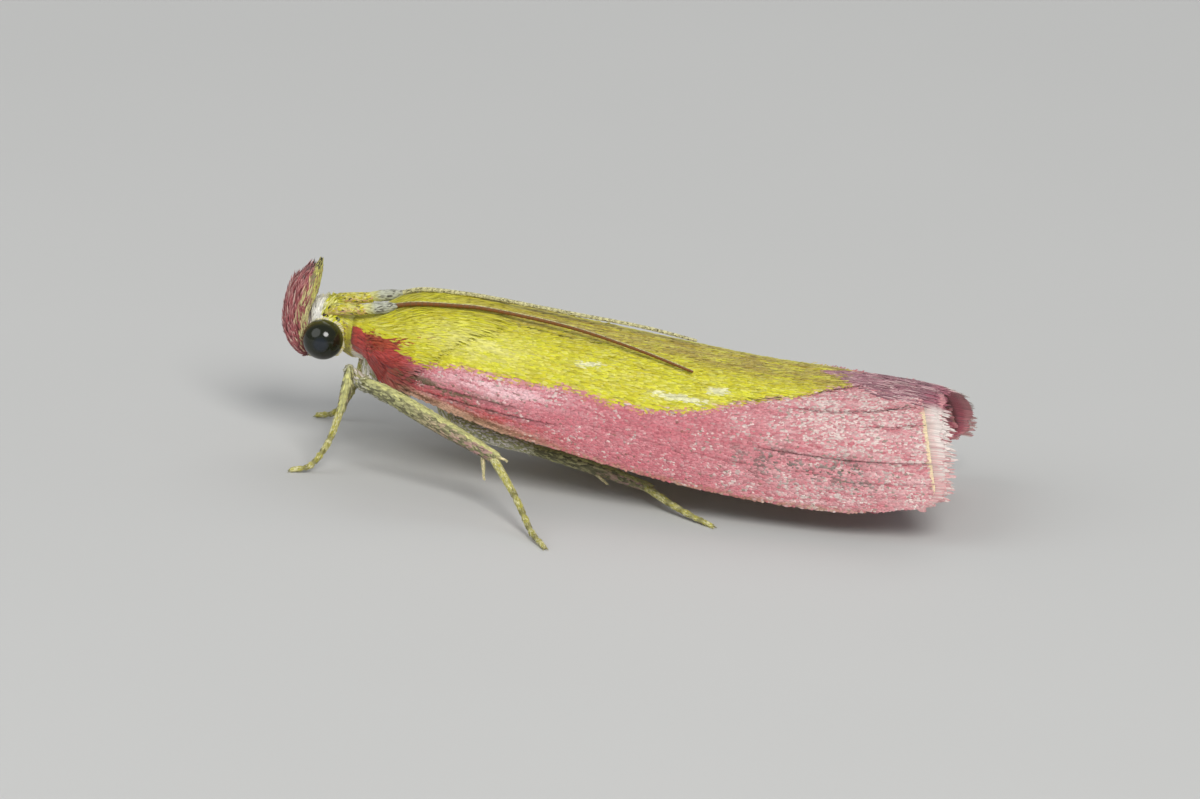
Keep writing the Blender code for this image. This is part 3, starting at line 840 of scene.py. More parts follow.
class Graph:
    """Adds shader nodes to a tree and wires them."""

    def __init__(self, tree: NodeTree) -> None:
        """Work on one node tree."""
        self.tree = tree

    def add(self, kind: str, **settings: object) -> Node:
        """New node with its settings.

        Args:
            kind: type of the node.
            settings: its settings.

        Returns:
            The node.
        """
        node = self.tree.nodes.new(kind)
        for key, value in settings.items():
            setattr(node, key, value)
        return node

    def feed(self, socket: Socket, value: object) -> None:
        """Wire a socket, or set its own value.

        Args:
            socket: input to feed.
            value: another node's output, a number or a colour.
        """
        if isinstance(value, Value):
            value = value.socket
        if isinstance(value, Socket):
            self.tree.links.new(value, socket)
        elif isinstance(value, tuple) and len(value) == 3 and socket.type == "RGBA":
            socket.default_value = (*value, 1.0)
        else:
            socket.default_value = value

    def feed_all(self, node: Node, values: dict[object, object]) -> None:
        """Feed inputs of a node, given by name or number."""
        for key, value in values.items():
            self.feed(node.inputs[key], value)

    def math(self, operation: str, a: object, b: object = 0.0) -> Value:
        """Result of one Math node.

        Args:
            operation: name of the operation.
            a: first value.
            b: second value.

        Returns:
            The result.
        """
        node = self.add("ShaderNodeMath", operation=operation)
        self.feed_all(node, {0: a, 1: b})
        return Value(self, node.outputs[0])

    def mix(self, factor: object, a: object, b: object, blend: Blend = Blend.PLAIN) -> Socket:
        """Two colours mixed by a factor.

        Args:
            factor: share of the second.
            a: the first.
            b: the second.
            blend: way to blend.

        Returns:
            The colour.
        """
        node = self.add("ShaderNodeMix", data_type="RGBA", blend_type=blend.value)
        self.feed_all(node, {0: factor, 6: a, 7: b})
        return node.outputs[2]

    def between(self, factor: object, a: object, b: object) -> Value:
        """Two numbers mixed by a factor.

        Args:
            factor: share of the second.
            a: the first.
            b: the second.

        Returns:
            The number.
        """
        node = self.add("ShaderNodeMix", data_type="FLOAT")
        self.feed_all(node, {0: factor, 2: a, 3: b})
        return Value(self, node.outputs[0])

    def shaded(self, colour: object, shade: Value) -> Socket:
        """Colour made darker by a shade."""
        return self.mix(1.0, colour, self.vector(shade, shade, shade), Blend.DARKEN)

    def vector(self, x: object, y: object, z: object = 0.0) -> Socket:
        """Vector of three values.

        Args:
            x: first value.
            y: second value.
            z: third value.

        Returns:
            The vector.
        """
        node = self.add("ShaderNodeCombineXYZ")
        self.feed_all(node, {0: x, 1: y, 2: z})
        return node.outputs[0]

    def parts(self, vector: Socket) -> list[Value]:
        """The three values of a vector.

        Args:
            vector: the vector.

        Returns:
            Three values.
        """
        node = self.add("ShaderNodeSeparateXYZ")
        self.feed(node.inputs[0], vector)
        return [Value(self, socket) for socket in node.outputs]

    def position(self) -> Socket:
        """Object coordinates."""
        return self.add("ShaderNodeTexCoord").outputs["Object"]

    def noise(self, vector: Socket, scale: float, detail: float = 3.0, rough: float = 0.55) -> Value:
        """Noise from 0 to 1.

        Args:
            vector: places to read.
            scale: fineness of the grain.
            detail: number of finer layers.
            rough: strength of the finer layers.

        Returns:
            The noise.
        """
        node = self.add("ShaderNodeTexNoise")
        self.feed_all(node, {"Vector": vector, "Scale": scale, "Detail": detail, "Roughness": rough})
        return Value(self, node.outputs[0])

    def curve(self, value: Value, points: Sequence[tuple[float, float]], top: float) -> Value:
        """Curve through points (place, height), each height from 0 to top.

        Args:
            value: place on the curve.
            points: places and heights.
            top: largest height.

        Returns:
            Height of the curve.
        """
        low, high = points[0][0], points[-1][0]
        share = self.add("ShaderNodeMapRange")
        self.feed_all(share, {"Value": value, "From Min": low, "From Max": high})
        node = self.add("ShaderNodeFloatCurve")
        drawn = node.mapping.curves[0]
        while len(drawn.points) < len(points):
            drawn.points.new(0.5, 0.5)
        for knot, (place, height) in zip(drawn.points, points):
            knot.location = ((place - low) / (high - low), height / top)
        node.mapping.update()
        self.feed(node.inputs["Value"], share.outputs["Result"])
        return Value(self, node.outputs[0]) * top

    def map(self, name: str) -> list[Value]:
        """The values of one UV map."""
        return self.parts(self.add("ShaderNodeUVMap", uv_map=name).outputs[0])

    def attribute(self, name: str) -> Value:
        """A mesh attribute."""
        return Value(self, self.add("ShaderNodeAttribute", attribute_name=name).outputs["Fac"])

    def raise_surface(self, surface: Node, height: object, strength: float, distance: float, invert: bool) -> None:
        """Small relief from a height: strength from 0 to 1 and distance in millimetres.

        Args:
            surface: shader node of the surface.
            height: height of the relief.
            strength: strength from 0 to 1.
            distance: depth in millimetres.
            invert: True if the relief points inwards.
        """
        raised = self.add("ShaderNodeBump", invert=invert)
        raised.inputs["Strength"].default_value = strength
        raised.inputs["Distance"].default_value = distance * MM
        self.feed(raised.inputs["Height"], height)
        self.feed(surface.inputs["Normal"], raised.outputs["Normal"])

    def group(self, tree: NodeTree, **values: object) -> list[Value]:
        """Outputs of a group placed in this tree and fed.

        Args:
            tree: the group.
            values: values of its inputs.

        Returns:
            Its outputs.
        """
        node = self.add("ShaderNodeGroup", node_tree=tree)
        self.feed_all(node, values)
        return [Value(self, socket) for socket in node.outputs]

    def give(self, *values: object) -> NodeTree:
        """Feed the outputs of a node group and return its tree."""
        self.feed_all(self.add("NodeGroupOutput"), dict(enumerate(values)))
        return self.tree


def new_group(name: str, takes: dict[str, float], gives: Sequence[str]) -> tuple[Graph, list[Value]]:
    """Start a node group.

    Args:
        name: name of the group.
        takes: number inputs and their usual values.
        gives: outputs; one whose name ends in Colour is a colour, any other a number.

    Returns:
        The graph and its inputs.
    """
    tree = bpy.data.node_groups.new(name, "ShaderNodeTree")
    for key, value in takes.items():
        socket = tree.interface.new_socket(name=key, in_out="INPUT", socket_type="NodeSocketFloat")
        socket.default_value = value
    for key in gives:
        kind = "NodeSocketColor" if key.endswith("Colour") else "NodeSocketFloat"
        tree.interface.new_socket(name=key, in_out="OUTPUT", socket_type=kind)
    graph = Graph(tree)
    return graph, [Value(graph, socket) for socket in graph.add("NodeGroupInput").outputs][: len(takes)]


def new_marks(name: str) -> tuple[Graph, Value, Value, Value, Value]:
    """Start a group of markings.

    Args:
        name: name of the group.

    Returns:
        The graph, x, the angle, the scale's random value and a second random value.
    """
    graph, (x, angle, chance) = new_group(name, {"X": 0.0, "Angle": 45.0, "Chance": 0.5}, ("Scale Colour", "Pale"))
    return graph, x, angle, chance, chance.redraw(SECOND_DRAW)


# Finishes


@dataclass(frozen=True)
class Palette:
    """Colours of the moth's scales, as linear values."""

    lemon: Colour = (0.67, 0.65, 0.025)
    gold: Colour = (0.55, 0.48, 0.012)
    straw: Colour = (0.78, 0.75, 0.24)
    rose: Colour = (0.54, 0.14, 0.17)
    blush: Colour = (0.72, 0.46, 0.46)
    crimson: Colour = (0.48, 0.050, 0.036)
    blood: Colour = (0.16, 0.008, 0.010)
    mauve: Colour = (0.31, 0.14, 0.17)
    chalk: Colour = (0.86, 0.82, 0.74)
    snow: Colour = (0.93, 0.91, 0.84)
    cream: Colour = (0.82, 0.68, 0.42)
    olive: Colour = (0.10, 0.085, 0.03)
    soot: Colour = (0.05, 0.042, 0.04)
    rust: Colour = (0.19, 0.066, 0.010)
    buff: Colour = (0.50, 0.42, 0.27)
    leg: Colour = (0.45, 0.44, 0.20)
    silver: Colour = (0.52, 0.53, 0.42)
    frost: Colour = (0.78, 0.80, 0.72)
    pearl: Colour = (0.80, 0.79, 0.58)
    # Pale pink used only for the painted sheen streak of the rose field
    silk: Colour = (0.88, 0.60, 0.63)
    slate: Colour = (0.12, 0.11, 0.09)
    # Dark ochre used only as painted shade along the ridge of the wings
    ridge_shade: Colour = (0.33, 0.22, 0.05)
    dusk: Colour = (0.42, 0.25, 0.22)
    ivory: Colour = (0.68, 0.64, 0.34)
    moss: Colour = (0.44, 0.40, 0.05)
    tan: Colour = (0.56, 0.36, 0.22)


COLOURS = Palette()

# Segments of the abdomen: x of the first hind edge and length of one
FIRST_SEGMENT = -2.2
SEGMENT_LENGTH = 0.85

# Joints of the foot as shares of its length, and number of joints of the antenna's whip
TARSUS_JOINTS = (0.40, 0.58, 0.73, 0.86)
WHIP_JOINTS = 58

# Edge of the yellow field: x and angle down from the ridge
YELLOW_EDGE = (
    (-7.5, 40.0), (-5.7, 45.0), (-5.3, 46.0), (-4.75, 54.0), (-4.4, 62.0), (-4.1, 64.0), (-3.2, 59.0), (-1.96, 56.0),
    (-1.14, 54.0), (-0.2, 54.5), (0.94, 52.0), (1.64, 46.5), (2.54, 37.0), (3.18, 31.0), (3.92, 22.0), (4.78, 9.0),
    (5.34, 2.0), (7.5, 0.0),
)
ARC_PER_DEGREE = 0.04

# Where the yellow field gives out towards the tip, and the angle by which its edge is moved there
WORN_END = (4.7, 5.1)
WORN_ANGLE = 16.0

# Pale strokes: centre x and angle, half length, half width in degrees and slope
PALE_STROKES = (
    (1.25, 42.5, 1.2, 4.5, -1.0),
    (2.0, 33.0, 0.5, 6.0, -8.0),
    (-0.67, 35.0, 0.5, 5.0, -6.0),
    (4.0, 31.0, 0.6, 3.5, -2.0),
    (3.2, 40.0, 0.7, 3.0, -4.0),
)


def wing_marks() -> NodeTree:
    """Group with the colour of a wing scale from its place and its own random value.

    Returns:
        The group.
    """
    graph, x, angle, chance, second = new_marks("wing marks")
    arc = angle * ARC_PER_DEGREE
    cloud = graph.noise(graph.vector(x, arc), 1.3, 3.0)
    patch = graph.noise(graph.vector(x * 0.7, arc + 7.0), 2.6, 4.0, 0.6)
    streak = graph.noise(graph.vector(x * 0.8, arc * 7.0), 1.7, 4.0, 0.6)
    third = chance.redraw(THIRD_DRAW)
    edge = graph.curve(x, YELLOW_EDGE, 90.0)
    loose = (cloud - 0.5) * 10.0
    loose = loose + (second - 0.5) * 5.0
    past = angle + loose - edge
    worn = x.step(3.9, 4.8) * (angle + loose).step(11.0, 5.0)
    worn = graph.math("MAXIMUM", worn, x.step(*WORN_END))
    past = past + worn * WORN_ANGLE

    # Yellow field: silky streaks, a pale swirl that is partly a painted highlight, chalky patches along its lower edge
    # and painted shade along the ridge
    yellow = graph.mix(streak.step(0.36, 0.66), COLOURS.lemon, COLOURS.gold)
    yellow = graph.mix(third.step(0.5, 1.0) * 0.45, yellow, COLOURS.straw)
    # Pale straw swirl of long scales behind the shoulder: partly the scales' own pale colour, partly a painted
    # highlight on the silky scales
    swirl = x.bell(-3.1, 1.7) * angle.bell(40.0, 20.0) * streak.step(0.34, 0.6) * 0.85
    yellow = graph.mix(swirl, yellow, COLOURS.straw)
    chalk = 0.0
    for stroke_x, stroke_angle, half_x, half_angle, slant in PALE_STROKES:
        tilted = angle - (x - stroke_x) * slant
        spot = x.bell(stroke_x, half_x) * tilted.bell(stroke_angle, half_angle)
        chalk = graph.math("MAXIMUM", chalk, spot)
    ragged = streak * 0.8 + second * 0.35
    chalk = (chalk + ragged).step(1.0, 1.3) * 0.7
    yellow = graph.mix(chalk, yellow, COLOURS.pearl)
    # Painted shade: the yellow turns to dark ochre along the ridge, where the folded wings lie in shade
    dusk = angle.step(26.0, 8.0) * x.step(-4.5, -2.0) * streak.step(0.25, 0.6) * 0.8
    yellow = graph.mix(dusk, yellow, COLOURS.ridge_shade)

    # Rose field: blush and chalk scales among rose ones, a streak of painted sheen below the yellow edge, dark specks
    # towards the tip
    outer = x.step(1.0, 5.0)
    pale = second * 0.5 + outer * 0.55
    pale = pale * streak.step(0.25, 0.7)
    rose = graph.mix(pale, COLOURS.rose, COLOURS.blush)
    # Painted sheen: a pale silky streak in the rose field just below the yellow edge
    silver = x.bell(-2.4, 2.2) * past.bell(8.0, 9.0) * streak.step(0.30, 0.55) * 0.95
    rose = graph.mix(silver, rose, COLOURS.silk)
    dusting = x.bell(4.6, 1.9) * angle.bell(38.0, 24.0) * 0.13
    flecks = patch * 0.8 + outer * 0.10
    flecks = flecks + dusting
    white = (flecks + third * 0.5).step(0.84, 0.94)
    rose = graph.mix(white * 0.55, rose, COLOURS.frost)
    field_of_specks = x.step(1.6, 3.4) * x.step(6.1, 5.3) * angle.bell(68.0, 17.0)
    specks = graph.noise(graph.vector(x * 1.1, arc + 21.0), 3.4, 3.0, 0.7)
    clusters = graph.math("MAXIMUM", x.bell(3.1, 0.8), x.bell(4.7, 0.8))
    dots = specks * 0.9 + third * 0.3
    dots = (dots + clusters * 0.07).step(0.67, 0.73)
    rose = graph.mix(field_of_specks * dots * 0.8, rose, COLOURS.slate)
    rare = third.step(0.965, 0.985) * 0.6
    rose = graph.mix(rare, rose, COLOURS.olive)
    torn = x.step(3.6, 5.0) * angle.step(17.0, 4.0) + streak * 0.5
    rose = graph.mix(torn.step(0.5, 1.0) * 0.75, rose, COLOURS.mauve)

    # Crimson shoulder, dark streaks at the base of the wing and the pale costal edge
    rose = graph.mix(x.step(-5.56, -5.66), rose, graph.mix(second, COLOURS.gold, COLOURS.olive))
    red = x.step(-4.0, -4.6) * x.step(-5.66, -5.56) * 0.95
    rose = graph.mix(red, rose, graph.mix(streak.step(0.62, 0.36) * second, COLOURS.crimson, COLOURS.blood))
    streaks = x.step(-4.9, -4.3) * x.step(-1.6, -3.2) * angle.bell(77.0, 9.0)
    rose = graph.mix(streaks * streak.step(0.44, 0.56) * 0.9, rose, COLOURS.olive)
    blood = x.step(-4.6, -4.0) * x.step(0.0, -2.4) * angle.bell(84.0, 9.0)
    rose = graph.mix(blood * streak.step(0.6, 0.42) * 0.7, rose, COLOURS.crimson)
    keel = angle.step(82.0, 87.0) * x.step(-0.6, -2.6) * x.step(-4.7, -4.3) * 0.8
    rose = graph.mix(keel, rose, graph.mix(streak.step(0.36, 0.6), COLOURS.olive, COLOURS.tan))
    costal = angle.step(86.0, 88.5) * x.step(-4.2, -2.6) * second.step(0.1, 0.6)
    rose = graph.mix(costal * 0.6, rose, graph.mix(streak, COLOURS.rust, COLOURS.tan))

    colour = graph.mix(past.step(1.5, -1.5), rose, yellow)
    end = (angle - 30.5) * 0.0098 + 6.25
    line = (x - end).step(-0.05, -0.02)
    line = line * angle.step(20.0, 27.0)
    colour = graph.mix(line * 0.9, colour, COLOURS.cream)
    return graph.give(colour, graph.math("MAXIMUM", white, chalk))


def body_marks() -> NodeTree:
    """Group with the colour of a body scale from x, the turn down from the back and its own random value.

    Returns:
        The group.
    """
    graph, x, angle, _, second = new_marks("body marks")
    cloud = graph.noise(graph.vector(x * 2.2, angle * 0.05), 1.6, 3.0)
    yellow = graph.mix(second.step(0.3, 0.9), COLOURS.lemon, COLOURS.straw)
    back = graph.mix(cloud.step(0.45, 0.62), yellow, COLOURS.gold)
    low = graph.mix(second, COLOURS.cream, COLOURS.chalk)
    thorax = graph.mix(angle.step(84.0, 108.0), back, low)
    shoulder = x.step(-5.68, -5.62) * x.step(-3.9, -4.5)
    red = shoulder * angle.step(42.0, 54.0) * angle.step(120.0, 106.0)
    thorax = graph.mix(red * 0.95, thorax, graph.mix(second * 0.8, COLOURS.crimson, COLOURS.blood))

    # Head: pale nape and cheeks, yellow crown, white brow and rosy face
    head = graph.mix(angle.step(70.0, 95.0), yellow, COLOURS.cream)
    head = graph.mix(x.step(-6.30, -6.36) * angle.step(90.0, 65.0), head, COLOURS.snow)
    face = x.step(-6.50, -6.58) * second.step(0.75, 0.55)
    head = graph.mix(face, head, COLOURS.blush)
    cheek = x.step(-5.98, -5.90) * angle.step(40.0, 56.0) * angle.step(156.0, 138.0)
    olive = graph.mix(second.step(0.35, 0.9), COLOURS.gold, COLOURS.olive)
    head = graph.mix(cheek * 0.9, head, graph.mix(second.step(0.86, 0.9), olive, COLOURS.rust))
    colour = graph.mix(x.step(-5.70, -5.64), head, thorax)

    # Abdomen: buff with a pale hind edge on every segment, pale below
    belly = graph.mix(angle.step(80.0, 130.0), COLOURS.buff, COLOURS.cream)
    run = ((x - FIRST_SEGMENT) / SEGMENT_LENGTH).fract()
    belly = graph.mix(run.step(0.70, 0.85) * 0.7, belly, COLOURS.chalk)
    belly = graph.mix(x.step(4.0, 4.6), belly, COLOURS.straw)
    colour = graph.mix(x.step(-2.5, -2.3), colour, belly)
    return graph.give(colour, second)


def leg_marks() -> NodeTree:
    """Group with the colour of a leg scale: X counts the joints from the coxa, Angle the turn from the upper side.

    Returns:
        The group.
    """
    graph, x, angle, _, second = new_marks("leg marks")
    cloud = graph.noise(graph.vector(x * 4.0, angle * 0.04), 1.5, 3.0)
    mottle = cloud * 0.7 + second * 0.5
    thigh = graph.mix(mottle.step(0.5, 0.75), COLOURS.leg, COLOURS.chalk)
    # Tibia pale above and darker below: the leg's own mottled colours, with painted shade on the underside
    under = graph.mix(mottle.step(0.42, 0.74), (0.15, 0.14, 0.07), COLOURS.leg)
    under = graph.mix(x.step(2.2, 2.9) * second.step(0.4, 0.7), under, COLOURS.dusk)
    tibia = graph.mix(angle.step(34.0, 52.0), graph.mix(second * 0.6, COLOURS.leg, COLOURS.straw), under)
    foot = graph.mix(mottle.step(0.4, 0.8), COLOURS.moss, COLOURS.ivory)
    for joint in TARSUS_JOINTS:
        foot = graph.mix(x.bell(3.0 + joint - 0.035, 0.06) * 0.6, foot, COLOURS.olive)
    colour = graph.mix(x.step(1.98, 2.02), thigh, tibia)
    colour = graph.mix(x.step(2.98, 3.02), colour, foot)
    colour = graph.mix(x.step(3.99, 4.02), colour, graph.mix(second, COLOURS.cream, COLOURS.leg))
    return graph.give(colour, second)


def antenna_marks() -> NodeTree:
    """Group with the colour of an antenna: X is 0 to 1 on the scape, to 2 on the knot and to 3 on the flagellum.

    Returns:
        The group.
    """
    graph, x, angle, _, second = new_marks("antenna marks")
    cloud = graph.noise(graph.vector(x * 6.0, angle * 0.03), 1.5, 3.0)
    scape = graph.mix(second.step(0.3, 0.9), COLOURS.gold, COLOURS.straw)
    scape = graph.mix(cloud.step(0.5, 0.62) * 0.7, scape, COLOURS.leg)
    rosy = angle.step(40.0, 100.0) * cloud.step(0.40, 0.58) * second.step(0.15, 0.45) * 0.75
    scape = graph.mix(rosy, scape, (0.60, 0.27, 0.22))
    scape = graph.mix(second.step(0.90, 0.94), scape, COLOURS.olive)
    knot = graph.mix(second.step(0.12, 0.5), COLOURS.slate, COLOURS.silver)
    knot = graph.mix(x.step(1.35, 1.1) * 0.7, knot, COLOURS.straw)
    whip = graph.mix(angle.step(95.0, 55.0), COLOURS.rust, COLOURS.ivory)
    whip = graph.mix(second.step(0.78, 0.86) * angle.step(80.0, 40.0), whip, COLOURS.olive)
    joint = (x * float(WHIP_JOINTS)).fract()
    whip = graph.mix(joint.bell(0.5, 0.22) * 0.5, whip, COLOURS.olive)
    colour = graph.mix(x.step(0.98, 1.02), scape, knot)
    colour = graph.mix(x.step(1.98, 2.02), colour, whip)
    return graph.give(colour, second)


def scale_play() -> NodeTree:
    """Group that varies a colour at random from scale to scale, and darkens the root of each scale with painted shade.

    Returns:
        The group.
    """
    graph, (chance, along, span) = new_group("scale play", {"Chance": 0.5, "Along": 0.5, "Range": 0.3}, ("Shade",))
    swing = (chance - 0.5) * span
    # Painted shade at the root of each scale, where its neighbours overlap it
    root = along.step(0.5, 0.0) * -0.35
    return graph.give(1.0 + swing + root)


@dataclass(frozen=True)
class Finish:
    """A finish: values of the surface that are the same all over it."""

    name: str
    roughness: float = 0.5
    specular: float = 0.4
    sheen: float = 0.25
    coat: float = 0.0
    bump: float = 0.0
    bump_scale: float = 900.0
    bump_depth: float = 0.02
    sheen_roughness: float = 0.4
    coat_roughness: float = 0.08

    def start(self) -> tuple[Material, Graph, Node]:
        """New material with its Principled surface.

        Returns:
            The material, its graph and its surface.
        """
        material = bpy.data.materials.new(self.name)
        material.use_nodes = True
        graph = Graph(material.node_tree)
        surface = material.node_tree.nodes["Principled BSDF"]
        for key, value in (
            ("Roughness", self.roughness),
            ("Specular IOR Level", self.specular),
            ("Sheen Weight", self.sheen),
            ("Sheen Roughness", self.sheen_roughness),
            ("Coat Weight", self.coat),
            ("Coat Roughness", self.coat_roughness),
        ):
            surface.inputs[key].default_value = value
        if self.bump:
            grain = graph.noise(graph.position(), self.bump_scale, 3.0)
            graph.raise_surface(surface, grain, self.bump, self.bump_depth, False)
        return material, graph, surface


@dataclass(frozen=True)
class ScaledFinish(Finish):
    """Finish of scales whose colour comes from the shared markings."""

    on_blades: bool = True
    span: float = 0.35
    dull: float = 1.0
    lining: Colour = (0.42, 0.14, 0.15)
    # Strength of the painted shade in the creases
    crease_shade: float = 0.55
    inner_share: float = 0.8

    def build(self, marks: NodeTree, play: NodeTree) -> Material:
        """Material that reads the lie map and, on scales, each scale's own value.

        Args:
            marks: group with the markings.
            play: group that varies the scales.

        Returns:
            The material.
        """
        material, graph, surface = self.start()
        u, v = graph.map("Lie")[0:2]
        x = u * LIE_SPAN + LIE_START
        angle = v * LIE_ANGLE
        if self.on_blades:
            chance, along = graph.map("Blade")[0:2]
        else:
            spot = graph.noise(graph.vector(x * 9.0, v * 160.0), 1.0, 2.0)
            chance, along = spot.step(0.3, 0.7), 0.7
        marked, pale = graph.group(marks, X=x, Angle=angle, Chance=chance)
        shade = graph.group(play, Chance=chance, Along=along, Range=self.span)[0] * self.dull
        # Painted shade in the creases of the membrane
        shade = shade * (1.0 - graph.attribute("crease") * self.crease_shade)
        colour = graph.mix(graph.attribute("inner") * self.inner_share, marked, self.lining)
        graph.feed(surface.inputs["Base Color"], graph.shaded(colour, shade))
        rough = graph.between(pale, self.roughness, self.roughness * 0.8)
        graph.feed(surface.inputs["Roughness"], rough)
        return material


@dataclass(frozen=True)
class RunFinish(Finish):
    """Finish of hairs and scales whose colour runs from root to tip, with stray ones of another colour."""

    root: Colour = (0.5, 0.5, 0.5)
    middle: Colour = (0.5, 0.5, 0.5)
    tip: Colour = (0.5, 0.5, 0.5)
    turns: tuple[float, float, float, float] = (0.1, 0.3, 0.5, 0.8)
    stray: Colour = (0.5, 0.5, 0.5)
    stray_share: float = 0.1
    stray_blur: float = 0.06
    far: Colour | None = None
    far_from: tuple[float, float] = (0.5, 0.8)
    back: Colour | None = None
    back_from: tuple[float, float] = (0.62, 0.78)
    span: float = 0.4

    def build(self, play: NodeTree) -> Material:
        """Material that reads each scale's own value, its run and its place on the lie map.

        Args:
            play: group that varies the scales.

        Returns:
            The material.
        """
        material, graph, surface = self.start()
        chance, along = graph.map("Blade")[0:2]
        u, v = graph.map("Lie")[0:2]
        colour = graph.mix(along.step(self.turns[0], self.turns[1]), self.root, self.middle)
        colour = graph.mix(along.step(self.turns[2], self.turns[3]), colour, self.tip)
        pick = chance.redraw(STRAY_DRAW)
        clump = graph.noise(graph.vector(u * 14.0, v * 9.0), 1.0, 3.0)
        pick = pick + (clump - 0.5) * 0.8
        usual = 1.0 - self.stray_share
        strays = pick.step(usual - self.stray_blur, usual + self.stray_blur)
        colour = graph.mix(strays, colour, self.stray)
        if self.back:
            side = v + (pick - 0.5) * 0.5
            colour = graph.mix(side.step(*self.back_from), colour, self.back)
        if self.far:
            place = u + (pick - 0.5) * 0.02
            colour = graph.mix(place.step(*self.far_from), colour, self.far)
        shade = graph.group(play, Chance=chance, Along=along, Range=self.span)[0]
        graph.feed(surface.inputs["Base Color"], graph.shaded(colour, shade))
        return material


@dataclass(frozen=True)
class PatternFinish(Finish):
    """Finish of skin and horn: two colours in clouds."""

    first: Colour = (0.5, 0.5, 0.5)
    second: Colour = (0.5, 0.5, 0.5)
    cloud: float = 2500.0

    def build(self) -> Material:
        """Material that reads object coordinates.

        Returns:
            The material.
        """
        material, graph, surface = self.start()
        cloud = graph.noise(graph.position(), self.cloud, 4.0)
        colour = graph.mix(cloud.step(0.35, 0.65), self.first, self.second)
        graph.feed(surface.inputs["Base Color"], colour)
        rough = graph.between(cloud, self.roughness * 0.85, self.roughness * 1.15)
        graph.feed(surface.inputs["Roughness"], rough)
        return material


@dataclass(frozen=True)
class EyeFinish(Finish):
    """Glossy black eye with an olive rim and a blue-grey centre that is a painted reflection, finely faceted."""

    # The blue-grey of the centre is a painted reflection
    centre: Colour = (0.016, 0.021, 0.028)
    ring: Colour = (0.012, 0.014, 0.006)
    rim: Colour = (0.05, 0.05, 0.012)
    facet: float = 0.022
    facet_depth: float = 0.004
    facet_strength: float = 0.12

    def build(self, eye: "Eye") -> Material:
        """Material centred on both eyes by the distance from their axis.

        Args:
            eye: the eye, for its centre and size.

        Returns:
            The material.
        """
        material, graph, surface = self.start()
        place = graph.position()
        x, _, z = graph.parts(place)
        dx = x - eye.centre[0] * MM
        dz = z - eye.centre[2] * MM
        away = graph.math("SQRT", dx * dx + dz * dz)
        share = away / (eye.radius * MM)
        # Painted reflection: blue-grey in the middle of the eye
        colour = graph.mix(share.step(0.2, 0.5), self.centre, self.ring)
        colour = graph.mix(share.step(0.82, 1.0), colour, self.rim)
        graph.feed(surface.inputs["Base Color"], colour)
        cells = graph.add("ShaderNodeTexVoronoi", feature="F1")
        graph.feed_all(cells, {"Vector": place, "Scale": 1.0 / (self.facet * MM)})
        graph.raise_surface(surface, cells.outputs["Distance"], self.facet_strength, self.facet_depth, True)
        return material


# Forewing


# Creases of the membrane, sunk and darkened with painted shade: half width in degrees, share of depth and painted
# shade, then points (x, angle)
CREASES = (
    (0.6, 0.8, ((2.2, 38.0), (3.9, 23.0), (4.8, 10.0), (5.6, 3.0))),
    (0.7, 1.0, ((3.5, 35.5), (4.4, 33.5), (5.24, 28.5), (5.95, 20.5))),
    (0.5, 0.7, ((4.9, 41.0), (5.6, 38.0), (6.28, 33.0))),
    (0.55, 1.0, ((3.0, 61.0), (4.72, 61.0), (5.74, 59.5), (7.05, 56.0))),
    (0.5, 0.6, ((4.9, 73.0), (5.8, 71.5), (6.7, 69.5))),
    (0.7, 0.3, ((-3.6, 24.0), (-1.0, 27.0), (1.6, 30.0))),
    (0.6, 0.3, ((-0.5, 70.0), (2.4, 71.0), (4.4, 70.0))),
    (0.6, 1.0, ((-3.3, 14.5), (-2.6, 16.2), (-1.92, 17.5), (-0.6, 17.0))),
    (0.6, 0.9, ((-4.3, 84.5), (-3.0, 80.0), (-1.2, 76.0))),
    (0.6, 0.8, ((-4.4, 79.5), (-3.4, 75.5), (-2.0, 72.5))),
)


def crease_mask(x: Array, angle: Array) -> Array:
    """1 on a crease of the membrane and 0 between creases.

    Args:
        x: places along the body.
        angle: angles down from the ridge, in degrees.

    Returns:
        The mask.
    """
    total = np.zeros(np.broadcast(x, angle).shape)
    for half, strength, points in CREASES:
        table = np.array(points)
        middle = np.interp(x, table[:, 0], table[:, 1])
        inside = ease(x, table[0, 0] - 0.3, table[0, 0] + 0.5) * ease(x, table[-1, 0] + 0.15, table[-1, 0] - 0.15)
        total = np.maximum(total, strength * inside * bump(angle, middle, half))
    return total


def set_crease(obj: Object, values: Array) -> None:
    """Write the attribute that paints shade into the creases, one value per face corner."""
    layer = obj.data.attributes.new("crease", "FLOAT", "CORNER")
    layer.data.foreach_set("value", values.astype(np.float32))


